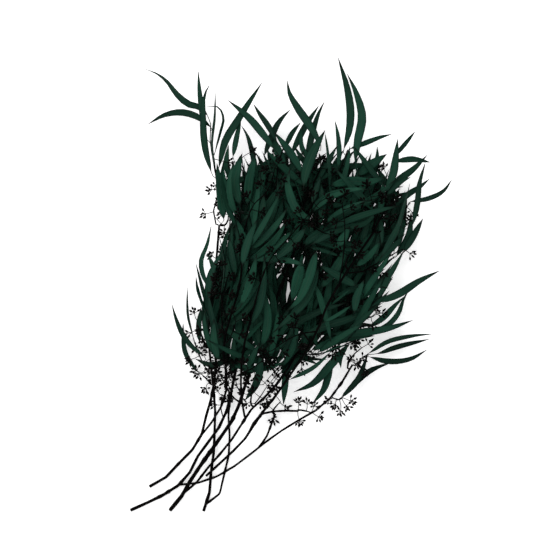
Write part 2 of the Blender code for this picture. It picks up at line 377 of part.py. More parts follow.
# ---- Curves ----
def smooth(points, count):
    """`count` points, evenly spaced by length, on a cubic curve through the given points."""
    points = np.asarray(points, float)
    chord = np.linalg.norm(np.diff(points, axis=0), axis=1)
    at = np.concatenate([[0], np.cumsum(chord)])
    straight = len(points) == 2
    slope = np.repeat(np.diff(points, axis=0) / chord, 2, 0) if straight else np.gradient(points, at, axis=0)
    fine = np.linspace(0, at[-1], 12 * len(points))
    i = np.clip(np.searchsorted(at, fine, side="right") - 1, 0, len(points) - 2)
    h = chord[i]
    t = (fine - at[i]) / h
    a, b, c, d = 2 * t**3 - 3 * t**2 + 1, t**3 - 2 * t**2 + t, 3 * t**2 - 2 * t**3, t**3 - t**2
    curve = (a[:, None] * points[i] + (b * h)[:, None] * slope[i]
             + c[:, None] * points[i + 1] + (d * h)[:, None] * slope[i + 1])
    return resampled(curve, np.linspace(0, 1, count))


def resampled(curve, fractions):
    """The points of a polyline at the given fractions of its length."""
    length = np.concatenate([[0], np.cumsum(np.linalg.norm(np.diff(curve, axis=0), axis=1))])
    at = np.asarray(fractions) * length[-1]
    return np.stack([np.interp(at, length, curve[:, k]) for k in range(3)], axis=1)


def length_of(curve):
    return float(np.linalg.norm(np.diff(curve, axis=0), axis=1).sum())


def frames(path, roll=0.0, twist=0.0):
    """Tangent, side and normal at each point; the normal leans from straight up by the roll."""
    tangent = np.gradient(path, axis=0)
    tangent /= np.linalg.norm(tangent, axis=1)[:, None]
    up = np.array([0.0, 0.0, 1.0]) if abs(tangent[:, 2]).max() < 0.95 else np.array([0.6, 0.8, 0.0])
    side = np.cross(tangent, up)
    side /= np.linalg.norm(side, axis=1)[:, None]
    normal = np.cross(side, tangent)
    angle = (roll + twist * np.linspace(0, 1, len(path)))[:, None]
    turned = side * np.cos(angle) + normal * np.sin(angle)
    return tangent, turned, normal * np.cos(angle) - side * np.sin(angle)


# ---- Closed shapes, as (points, faces) ----
def loft(rings, tip=None):
    """A closed skin over rings of equal size, with flat ends or a pointed far end.

    Each four-sided patch folds along the diagonal that stands out, so a twisted blade keeps its depth.
    """
    count, sides = rings.shape[:2]
    points = rings.reshape(-1, 3)
    faces = []
    for i in range(count - 1):
        for j in range(sides):
            k = (j + 1) % sides
            a, b, c, d = i * sides + j, i * sides + k, (i + 1) * sides + k, (i + 1) * sides + j
            outward = np.cross(points[d] - points[b], points[c] - points[a])
            if (points[b] + points[d] - points[a] - points[c]) @ outward > FLAT_ENOUGH:
                faces += [(b, a, d), (b, d, c)]
            else:
                faces += [(b, a, c), (c, a, d)]
    last = (count - 1) * sides
    faces += [(0, j, j + 1) for j in range(1, sides - 1)]
    if tip is None:
        faces += [(last, last + j + 1, last + j) for j in range(1, sides - 1)]
    else:
        points = np.vstack([points, tip])
        faces += [(last + (j + 1) % sides, last + j, len(points) - 1) for j in range(sides)]
    return points, faces


def tube(path, start, end, sides):
    """A tapered round rod along a path, from one radius to another."""
    _, side, normal = frames(path)
    turn = np.linspace(0, 2 * math.pi, sides, endpoint=False)
    radius = np.linspace(start, end, len(path))[:, None, None]
    ring = np.cos(turn)[None, :, None] * side[:, None] + np.sin(turn)[None, :, None] * normal[:, None]
    return loft(path[:, None] + radius * ring)


def blade_width(u):
    """Width along the blade as a share of the widest: a rounded foot and a long fine tip."""
    widest = BLADE_FOOT / (BLADE_FOOT + BLADE_TIP)
    return (u / widest) ** BLADE_FOOT * ((1 - u) / (1 - widest)) ** BLADE_TIP


def leaf_shape(leaf, extra=0.0):
    """Petiole and blade in one: flat above, with the midrib standing out below."""
    curve = leaf["curve"]
    stalk = leaf["stalk"]
    stations = np.concatenate([[0, stalk], stalk + (1 - stalk) * np.array(BLADE_STATIONS), [1]])
    path = resampled(curve, stations)
    _, side, normal = frames(path, leaf["roll"], leaf["twist"])
    width = np.full(len(path), PETIOLE_WIDTH)
    width[2:-1] = np.maximum(leaf["width"] * blade_width(np.array(BLADE_STATIONS)), PETIOLE_WIDTH)
    width += 2 * extra
    depth = np.full(len(path), LEAF_THICKNESS + extra)
    depth[:2] = PETIOLE_DEPTH + extra
    lift = 0.5 * extra * normal
    left = path + lift + side * width[:, None] / 2
    right = path + lift - side * width[:, None] / 2
    keel = path - normal * depth[:, None]
    rings = np.stack([left, right, keel], axis=1)[:-1]
    return loft(rings, path[-1])


def umbel_shape(centre, axis):
    """Buds on thin stalks, grown out of four faces of a small eight-faced core; a fifth hangs back."""
    side = np.cross(axis, [0.3, 0.2, 0.93])
    side /= np.linalg.norm(side)
    third = np.cross(axis, side)
    # The core's three diagonals lean equally towards the axis, so one of its faces looks along it.
    turns = np.radians([90, 210, 330])
    lean = math.acos(1 / math.sqrt(3))
    legs = [math.cos(lean) * axis + math.sin(lean) * (math.cos(turn) * side + math.sin(turn) * third)
            for turn in turns]
    points = [centre + BUD_CORE * leg for leg in legs] + [centre - BUD_CORE * leg for leg in legs]
    faces = []
    for signs in itertools.product((0, 3), repeat=3):
        face = [0 + signs[0], 1 + signs[1], 2 + signs[2]]
        if signs.count(3) % 2:
            face.reverse()
        look = sum(points[i] for i in face) / 3 - centre
        look /= np.linalg.norm(look)
        backward = look @ axis < -0.1
        if backward and signs != (3, 3, 0):
            faces.append(tuple(face))
            continue
        spread = np.array([points[i] for i in face]) - (centre + look * BUD_CORE / math.sqrt(3))
        spread /= np.linalg.norm(spread[0])
        ring = face
        for reach, radius in ((STALK_LENGTH, STALK_RADIUS), (STALK_LENGTH + 0.45 * BUD_LENGTH, BUD_RADIUS)):
            new = list(range(len(points), len(points) + 3))
            points += [centre + look * reach + radius * leg for leg in spread]
            faces += walls(ring, new)
            ring = new
        points.append(centre + look * (STALK_LENGTH + BUD_LENGTH))
        tip = len(points) - 1
        faces += [(ring[j], ring[(j + 1) % 3], tip) for j in range(3)]
    return np.array(points), faces


def walls(low, high):
    """The triangles between two rings of three."""
    found = []
    for j in range(3):
        k = (j + 1) % 3
        found += [(low[j], low[k], high[k]), (low[j], high[k], high[j])]
    return found


# ---- Clearance between pieces ----
class Placed:
    """The pieces already in place, for testing a new one against."""

    def __init__(self):
        self.boxes = np.empty((0, 2, 3))
        self.trees = []

    def add(self, shape, owner):
        points, faces = shape
        tree = BVHTree.FromPolygons([tuple(p) for p in points], faces)
        self.boxes = np.concatenate([self.boxes, [[points.min(0), points.max(0)]]])
        self.trees.append((tree, owner))

    def hits(self, shape, owner, own_too=True):
        """Whether the shape cuts a placed one; pieces of its own spray count unless own_too is off."""
        points, faces = shape
        close = (points.min(0) <= self.boxes[:, 1]).all(1) & (points.max(0) >= self.boxes[:, 0]).all(1)
        tree = None
        for i in np.flatnonzero(close):
            other, name = self.trees[i]
            if name == owner + ".twig" or (name == owner and not own_too):
                continue
            tree = tree or BVHTree.FromPolygons([tuple(p) for p in points], faces)
            if tree.overlap(other):
                return True
        return False


def inside(points, outline):
    """Which points lie in the outline, by the even-odd rule."""
    x, y = points[:, :1], points[:, 1:2]
    start, end = np.array(outline), np.roll(outline, -1, axis=0)
    crosses = (start[:, 1] > y) != (end[:, 1] > y)
    fall = np.where(end[:, 1] == start[:, 1], 1, end[:, 1] - start[:, 1])
    at = start[:, 0] + (y - start[:, 1]) * (end[:, 0] - start[:, 0]) / fall
    return (crosses & (x < at)).sum(1) % 2 == 1


def nearest(path, point):
    gap = np.linalg.norm(path - point, axis=1)
    return int(gap.argmin()), float(gap.min())


def candidates(lifts, turns=(0,), reaches=(1,)):
    """Height changes from small to large, each with a few turns of the leaf and a few petiole lengths."""
    step, most = lifts
    for k in range(int(most / step) + 1):
        for sign in ((1,) if k == 0 else (1, -1)):
            for turn, reach in itertools.product(turns, reaches):
                yield sign * k * step, turn, reach


# ---- Pieces ----
def branch_paths():
    """Every fork as (name, path, start radius, end radius); it starts on the line of its parent."""
    found = []
    for name, forks in BRANCHES.items():
        parents = []
        for start, end, route in forks:
            points = np.array(route, float)
            if parents:
                feet = [resampled(path, np.linspace(0, 1, 400)) for path in parents]
                near = [nearest(foot, points[0]) for foot in feet]
                best = min(range(len(near)), key=lambda k: near[k][1])
                points[0] = feet[best][near[best][0]]
            count = max(6, int(length_of(smooth(points, 40)) / BRANCH_STEP))
            parents.append(smooth(points, count))
            found.append((name, parents[-1], start / 2, end / 2))
    return found


def twig_path(route, branches):
    """A side twig: it leaves the nearest branch square to it, past a small gap, then follows its route."""
    first = np.array(route[0], float)
    best = None
    for _, path, start, end in branches:
        fine = resampled(path, np.linspace(0, 1, 200))
        i, gap = nearest(fine, first)
        if best is None or gap < best[0]:
            along = fine[min(i + 1, 199)] - fine[max(i - 1, 0)]
            best = (gap, fine[i], along / np.linalg.norm(along), start + (end - start) * i / 199)
    _, foot, along, radius = best
    rest = [np.array(p, float) for p in route[1:]]
    out = rest[0] - foot
    out -= along * (out @ along)
    out /= np.linalg.norm(out)
    start = foot + out * (radius + GAP)
    return np.array([start, start + out * 0.35] + rest)


def leaf_route(twig, base, rest_route, width, roll, twist, reach=1.0):
    """A leaf whose petiole leaves its twig behind the base of the blade."""
    heading = rest_route[0] - base
    heading /= np.linalg.norm(heading)
    i, _ = nearest(twig, base - heading * PETIOLE_LENGTH * reach)
    root = twig[i]
    stalk = np.linalg.norm(base - root)
    points = [root]
    if stalk > SHORT_STALK:
        points.append(base - heading * min(0.45 * stalk, 1.0))
    else:
        base = base + heading * SHORT_STALK
    curve = smooth(np.vstack([points, [base], rest_route]), 24)
    blade = length_of(smooth(np.vstack([[base], rest_route]), 12))
    total = length_of(curve)
    return {"curve": curve, "stalk": min(max(1 - blade / total, 0.06), 0.6), "width": width,
            "roll": roll, "twist": twist}


def drawn_leaf(twig, leaf, lift, roll, twist, reach):
    """A leaf from the plan: its height goes evenly from base to tip, with a slight arch."""
    width, low, high, route = leaf[:4]
    route = np.array(route, float)
    along = np.concatenate([[0], np.cumsum(np.linalg.norm(np.diff(route, axis=0), axis=1))])
    share = along / along[-1]
    height = low + (high - low) * share + ARCH * along[-1] * share * (1 - share) + lift
    points = np.column_stack([route, np.maximum(height, LOWEST)])
    return leaf_route(twig, points[0], points[1:], BREADTH * width, roll, twist, reach)


def grown_leaf(twig, share, side, rng):
    """A leaf by the rule of growth: it leaves the twig at a slant and bends as it goes."""
    i = int(share * (len(twig) - 1))
    root = twig[i]
    along = twig[min(i + 1, len(twig) - 1)] - twig[max(i - 1, 0)]
    heading = math.atan2(along[1], along[0]) + side * math.radians(rng.uniform(*GROWN_SLANT))
    bend = -side * math.radians(rng.uniform(*GROWN_BEND))
    length = rng.uniform(*GROWN_LENGTH)
    rise = rng.uniform(*GROWN_RISE)
    width = rng.uniform(*GROWN_WIDTH)
    roll = rng.uniform(-GROWN_ROLL, GROWN_ROLL)
    twist = rng.uniform(-GROWN_TWIST, GROWN_TWIST)
    steps = np.linspace(0, 1, 7)[1:]
    angle = heading + bend * steps
    run = length / len(steps) * np.stack([np.cos(angle), np.sin(angle), rise - GROWN_DROOP * steps], axis=1)
    route = root + np.cumsum(run, axis=0)
    route[:, 2] = np.maximum(route[:, 2], GROWN_LOWEST)
    return route, leaf_route(twig, root + 0.6 * (route[0] - root), route, width, roll, twist)


def clear_twig(name, route, branches, placed):
    """The side twig's path, raised or lowered until it lies clear of the rest."""
    for lift, _, _ in candidates(TWIG_LIFTS):
        rough = twig_path([route[0]] + [(x, y, z + lift) for x, y, z in route[1:]], branches)
        path = smooth(rough, max(4, int(length_of(smooth(rough, 20)) / TWIG_STEP)))
        path = np.vstack([rough[:2], path[path_after(path, rough[1]):]])
        if not placed.hits(tube(path[1:], *TWIG_CLEAR_RADII, TWIG_SIDES), name):
            break
    return path


def grow_bunch():
    """Where every piece lies. Each is tested as it is placed, so that no spray cuts another."""
    placed = Placed()
    bunch = {"branches": branch_paths(), "twigs": {}, "leaves": {name: [] for name in SPRAYS},
             "umbels": {name: [] for name in [*SPRAYS, *BUD_SPRAYS]}}
    for name, path, start, end in bunch["branches"]:
        placed.add(tube(path, start + CLEARANCE, end + CLEARANCE, BRANCH_SIDES), name)
    for name, (route, _) in [*SPRAYS.items(), *BUD_SPRAYS.items()]:
        path = clear_twig(name, route, bunch["branches"], placed)
        thick = tube(path, TWIG_RADII[0] + CLEARANCE, TWIG_RADII[1] + CLEARANCE, TWIG_SIDES)
        placed.add(thick, name + ".twig")
        bunch["twigs"][name] = path

    def place_leaf(name, leaf):
        if placed.hits(leaf_shape(leaf, CLEARANCE), name):
            return False
        placed.add(leaf_shape(leaf, CLEARANCE), name)
        bunch["leaves"][name].append(leaf)
        return True

    rng = random.Random(GROWN_SEED)
    fine = {name: resampled(bunch["twigs"][name], np.linspace(0.1, 0.99, 40)) for name in bunch["twigs"]}
    for name, (_, leaves) in SPRAYS.items():
        for leaf in leaves:
            roll = rng.uniform(-LEAF_ROLL, LEAF_ROLL)
            twist = leaf[4] if len(leaf) > 4 else rng.uniform(-LEAF_TWIST, LEAF_TWIST)
            for lift, turn, reach in candidates(LEAF_LIFTS, LEAF_TURNS, LEAF_REACHES):
                if place_leaf(name, drawn_leaf(fine[name], leaf, lift, roll + turn, twist, reach)):
                    break
    for name, (_, centres) in BUD_SPRAYS.items():
        for centre in centres:
            for lift, _, _ in candidates(UMBEL_LIFTS):
                spot = np.array(centre, float) + (0, 0, lift)
                shapes = umbel_shapes(fine[name], spot)
                if spot[2] >= UMBEL_LOWEST and not any(placed.hits(s, name, own_too=False) for s in shapes):
                    bunch["umbels"][name].append((fine[name], spot))
                    for shape in shapes:
                        placed.add(shape, name)
                    break
    for name, (_, leaves) in SPRAYS.items():
        count = GROWN_PER_SPRAY if leaves else GROWN_PER_INNER_SPRAY
        for k in range(count):
            for _ in range(GROWN_TRIES):
                route, leaf = grown_leaf(fine[name], (k + 0.6) / count, 1 if k % 2 else -1, rng)
                if inside(route, CROWN).all() and place_leaf(name, leaf):
                    break
    return bunch, placed


def path_after(path, point):
    """The first point of the path that is clearly past the given one."""
    i, _ = nearest(path, point)
    return i + 1


def umbel_shapes(twig, centre):
    """A short bare stalk from the twig to the middle of the umbel, and the buds around it."""
    i, _ = nearest(twig, centre)
    root = twig[i]
    axis = centre - root
    axis /= np.linalg.norm(axis)
    path = np.array([root, (root + centre) / 2, centre + 0.03 * axis])
    stalk = tube(path, STALK_RADIUS * 1.2, STALK_RADIUS, 3)
    return [stalk, umbel_shape(centre, axis)]


# ---- Blender objects ----
def solid_shapes(bunch):
    """The closed shapes that are joined into each solid: {name: (finish, [shape, ...])}."""
    solids = {}
    for name, path, start, end in bunch["branches"]:
        solids.setdefault(name, ("wood", []))[1].append(tube(path, start, end, BRANCH_SIDES))
    for name, path in bunch["twigs"].items():
        shapes = [tube(path, *TWIG_RADII, TWIG_SIDES)]
        shapes += [leaf_shape(leaf) for leaf in bunch["leaves"].get(name, [])]
        for twig, centre in bunch["umbels"][name]:
            shapes += umbel_shapes(twig, centre)
        solids[name] = ("leaf" if name in SPRAYS else "bud", shapes)
    return solids


def material(name, colour, roughness):
    made = bpy.data.materials.new(name)
    made.use_nodes = True
    shader = made.node_tree.nodes["Principled BSDF"]
    shader.inputs["Base Color"].default_value = (*colour, 1.0)
    shader.inputs["Roughness"].default_value = roughness
    return made


def mesh_object(name, shape, finish):
    points, faces = shape
    mesh = bpy.data.meshes.new(name)
    mesh.from_pydata([Vector(p) * CM for p in points], [], faces)
    mesh.materials.append(finish)
    obj = bpy.data.objects.new(name, mesh)
    bpy.context.scene.collection.objects.link(obj)
    return obj


def joined(name, shapes, finish):
    """One solid from overlapping closed shapes, by a Boolean union."""
    base = mesh_object(name, shapes[0], finish)
    if len(shapes) == 1:
        return base
    helpers = bpy.data.collections.new(name + "_parts")
    bpy.context.scene.collection.children.link(helpers)
    for k, shape in enumerate(shapes[1:]):
        piece = mesh_object(f"{name}_part_{k}", shape, finish)
        bpy.context.scene.collection.objects.unlink(piece)
        helpers.objects.link(piece)
        piece.hide_render = True
        piece.display_type = "WIRE"
    union = base.modifiers.new("union", "BOOLEAN")
    union.operation = "UNION"
    union.operand_type = "COLLECTION"
    union.collection = helpers
    union.solver = "MANIFOLD"
    graph = bpy.context.evaluated_depsgraph_get()
    solid = bpy.data.meshes.new_from_object(base.evaluated_get(graph))
    base.modifiers.remove(union)
    base.data = solid
    drop_cavities(solid)
    for piece in list(helpers.objects):
        bpy.data.objects.remove(piece)
    bpy.data.collections.remove(helpers)
    return base


def drop_cavities(mesh):
    """Fills the sealed pockets that crossing shapes enclose, by keeping only the outer skin."""
    body = bmesh.new()
    body.from_mesh(mesh)
    left = set(body.verts)
    skins = []
    while left:
        skin = {left.pop()}
        edge = list(skin)
        while edge:
            for link in edge.pop().link_edges:
                for vert in link.verts:
                    if vert in left:
                        left.discard(vert)
                        skin.add(vert)
                        edge.append(vert)
        skins.append(skin)
    outer = max(skins, key=len)
    for skin in skins:
        if skin is not outer:
            bmesh.ops.delete(body, geom=list(skin), context="VERTS")
    body.to_mesh(mesh)
    body.free()


def main():
    for obj in list(bpy.data.objects):
        bpy.data.objects.remove(obj)
    finishes = {
        "wood": material("bark", (0.012, 0.010, 0.008), 0.7),
        "leaf": material("leaf", (0.020, 0.070, 0.042), 0.55),
        "bud": material("bud", (0.010, 0.009, 0.008), 0.5),
    }
    bunch, _ = grow_bunch()
    for name, (kind, shapes) in solid_shapes(bunch).items():
        joined(name, shapes, finishes[kind])


main()
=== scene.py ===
"""A loose bunch of seeded willow eucalyptus, finished: bark, leaves with their veins, and umbels of buds.

Routes and sizes in the plan are centimetres, and the meshes are metres. The plan and the rules that
place each leaf are those of the CAD solids, so that every leaf lies where its solid does.
"""

import itertools
import math
import random

import bpy
import numpy as np
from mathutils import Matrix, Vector
from mathutils.bvhtree import BVHTree


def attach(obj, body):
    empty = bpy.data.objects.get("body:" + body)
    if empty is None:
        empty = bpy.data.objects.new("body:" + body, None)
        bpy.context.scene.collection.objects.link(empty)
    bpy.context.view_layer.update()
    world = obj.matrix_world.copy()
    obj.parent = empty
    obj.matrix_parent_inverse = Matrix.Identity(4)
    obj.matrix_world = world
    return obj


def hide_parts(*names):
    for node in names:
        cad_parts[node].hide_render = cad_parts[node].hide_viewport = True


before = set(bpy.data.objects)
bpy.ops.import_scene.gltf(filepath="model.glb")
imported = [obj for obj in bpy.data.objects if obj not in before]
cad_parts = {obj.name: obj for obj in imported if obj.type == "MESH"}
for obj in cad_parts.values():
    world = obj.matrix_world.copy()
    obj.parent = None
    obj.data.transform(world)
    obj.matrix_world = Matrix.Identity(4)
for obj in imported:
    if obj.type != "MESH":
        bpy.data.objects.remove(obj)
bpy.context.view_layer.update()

# ---- Driving dimensions, in centimetres; turns are in radians unless a line says degrees ----
CM = 0.01
LOWEST = 0.0  # the surface; several leaf tips rest on it
BRANCH_SIDES = 5
BRANCH_STEP = 2.6
TWIG_SIDES = 3
TWIG_STEP = 2.2
TWIG_RADII = (0.11, 0.07)
TWIG_CLEAR_RADII = (0.14, 0.12)
GAP = 0.04  # between a spray and the branch that it grows on
CLEARANCE = 0.05
FLAT_ENOUGH = 1e-9  # how far a patch must stand out for its fold to count
LEAF_THICKNESS = 0.07
BREADTH = 1.18  # how much wider an opened-out blade is than its width in the plan
BLADE_STATIONS = (0.16, 0.5, 0.82)
BLADE_FOOT = 0.62
BLADE_TIP = 1.0
ARCH = 0.08
LEAF_ROLL = 0.35
LEAF_TWIST = 0.4
PETIOLE_WIDTH = 0.13
PETIOLE_DEPTH = 0.105
PETIOLE_LENGTH = 1.1
SHORT_STALK = 0.8
BUD_LENGTH = 0.42
BUD_RADIUS = 0.15
BUD_CORE = 0.09
STALK_RADIUS = 0.05
STALK_LENGTH = 0.55
# Height steps and the most that a piece moves up or down to lie clear; a leaf also turns and reaches.
TWIG_LIFTS = (0.25, 3.0)
LEAF_LIFTS = (0.3, 4.2)
LEAF_TURNS = (0, 0.35, -0.35)
LEAF_REACHES = (1, 0.3, 2.2)
UMBEL_LIFTS = (0.25, 2.5)
UMBEL_LOWEST = 0.9
# Leaves that follow the rule of growth.
GROWN_SEED = 11
GROWN_TRIES = 14
GROWN_PER_SPRAY = 2
GROWN_PER_INNER_SPRAY = 5
GROWN_LOWEST = 0.35
GROWN_SLANT = (14, 44)  # degrees
GROWN_BEND = (-12, 42)  # degrees
GROWN_LENGTH = (7.5, 10.5)
GROWN_WIDTH = (0.85, 1.3)
GROWN_RISE = (-0.12, 0.2)
GROWN_DROOP = 0.22
GROWN_ROLL = 0.7
GROWN_TWIST = 0.5

# The outline of the leafy middle, in which the inner leaves grow: (x, y) going round it.
CROWN = [
    (-10.6, 18.6), (-6.2, 20.0), (-0.2, 21.4), (4.4, 19.4), (7.4, 21.6), (11, 20.0), (14.8, 17.6),
    (17.4, 14.0), (18.2, 10.5), (16.2, 5.2), (15.4, 0.8), (13.8, -3.8), (12.2, -7.2), (8.0, -9.6),
    (4.0, -12.4), (0.4, -14.6), (-3.2, -15.4), (-6.4, -14.8), (-10.0, -12.8), (-11.9, -10.6), (-13.4, -4.6),
    (-12.8, -0.8), (-11.2, 3.8), (-9.0, 9.8), (-10.6, 14.2)]

# ---- Branches: name, then forks; each is start thickness, end thickness and a route of (x, y, height) ----
BRANCHES = {
    "branch_a": [
        (0.42, 0.2, [(-21.5, -30.6, 0.2), (-20, -29.8, 0.24), (-18.8, -29, 0.4), (-17, -27, 0.6),
                     (-15, -25, 1.0), (-13.7, -23, 1.6), (-12.9, -20, 2.5), (-12.3, -18, 3.1),
                     (-11.7, -15.5, 3.8), (-11.3, -12, 4.2), (-11.6, -7, 4.4), (-11.7, -2, 4.4),
                     (-11.2, 4, 4.4), (-10.8, 9, 4.5)]),
        (0.3, 0.16, [(-13.7, -23, 1.6), (-13, -22.1, 1.9), (-11.8, -20.4, 2.5), (-10.9, -19, 3.0),
                     (-10.2, -17.5, 3.7), (-9.6, -15, 4.9), (-10.1, -9, 7.4), (-9.3, -5.5, 8.2),
                     (-8.3, -2.5, 8.4), (-7.5, 1, 8.0), (-7.2, 7, 6.8)]),
    ],
    "branch_b": [
        (0.45, 0.18, [(-24.4, -34.2, 0.215), (-23, -33.5, 0.25), (-21, -32.7, 0.3), (-19, -31.6, 0.35),
                      (-17, -30.3, 0.5), (-15.3, -28.3, 0.9), (-14.3, -26.2, 1.3), (-12, -23, 1.9),
                      (-10.2, -20.3, 2.2), (-9.6, -18.5, 2.2), (-8.6, -14, 2.7), (-6.5, -6, 4.0),
                      (-4, 3, 5.0), (-2.5, 10, 5.6)]),
        (0.16, 0.12, [(-17, -30.3, 0.5), (-15.5, -30.5, 0.3), (-14, -30, 0.14), (-12.3, -29.5, 0.12),
                      (-10, -28.4, 0.12), (-7.9, -27, 0.2), (-5, -24.7, 0.5), (-2.7, -22.9, 0.9),
                      (1, -20.5, 1.5), (5.1, -17.9, 2.1), (7.4, -15, 2.6), (8.4, -13.4, 2.8),
                      (9.2, -12, 3.0)]),
        (0.11, 0.08, [(-5, -24.7, 0.5), (-3.7, -22.9, 1.0), (-3, -21, 1.4), (-2.4, -19.5, 1.7)]),
    ],
    "branch_c": [
        (0.58, 0.2, [(-18.4, -34.2, 0.276), (-17.5, -33.1, 0.5), (-16.4, -31.7, 0.8), (-15.6, -30.2, 1.1),
                     (-14.2, -28, 1.5), (-12.1, -25, 1.8), (-10.4, -22.6, 2.2), (-8.3, -19.3, 2.8),
                     (-7.4, -16.5, 3.2), (-5.5, -11, 3.8), (-2.6, -3, 4.8), (0.4, 5, 5.8),
                     (2, 11, 6.4)]),
        (0.34, 0.18, [(-16.4, -31.7, 0.8), (-15.3, -30.9, 1.0), (-14, -29.5, 1.3), (-12.1, -27, 1.6),
                      (-10.3, -25, 1.9), (-8.2, -22.2, 2.6), (-6.3, -19, 3.6), (-3.5, -16.3, 4.8),
                      (-1.7, -14.2, 5.2), (1.2, -9.5, 5.4), (4.2, -2.5, 5.6), (6.2, 3.5, 5.8),
                      (7.5, 9, 6.0)]),
        (0.16, 0.14, [(-7.1, -20, 3.3), (-7.3, -18.2, 4.9), (-7.5, -15.5, 6.6), (-7.5, -13, 7.8),
                      (-7.2, -10, 8.8), (-6.6, -7, 9.2), (-6, -5, 9.2)]),
    ],
    "branch_d": [
        (0.42, 0.18, [(-13.3, -34.3, 0.2), (-12.8, -33.4, 0.4), (-12.5, -32.3, 0.6), (-12.3, -30, 0.75),
                      (-12.1, -28, 0.8), (-11.7, -25, 0.85), (-11.6, -22, 1.0), (-11.5, -19, 1.5),
                      (-11.8, -15, 2.3), (-12.2, -11, 2.9), (-12.6, -7, 3.0)]),
        (0.17, 0.12, [(-12.8, -33.4, 0.4), (-11.5, -33, 0.2), (-10.8, -31.5, 0.14), (-10.4, -29.8, 0.3),
                      (-10.1, -28.4, 0.5), (-9.5, -26, 0.5), (-9.3, -23.5, 0.8), (-9.5, -21, 1.1),
                      (-9.4, -18, 1.2), (-8.9, -15, 1.3), (-8, -11, 1.6)]),
    ],
    "branch_e": [
        (0.36, 0.14, [(-12.9, -28.9, 1.35), (-12, -28, 1.4), (-10, -26.3, 1.5), (-8.5, -24.8, 1.9),
                      (-6.6, -22.7, 2.7), (-5, -20, 4.0), (-2.5, -16.7, 6.3), (0.4, -12.4, 8.6),
                      (2, -10, 9.6), (3.7, -6.8, 10.5), (5.3, -2.8, 11.0), (7, 0.2, 10.6),
                      (9.3, 3.7, 9.4), (12.3, 8, 7.6)]),
        (0.15, 0.1, [(-6.4, -22.4, 2.8), (-5.6, -20.6, 2.8), (-4.6, -19.5, 2.4), (-2, -19, 2.4),
                     (1, -19, 2.4)]),
    ],
}

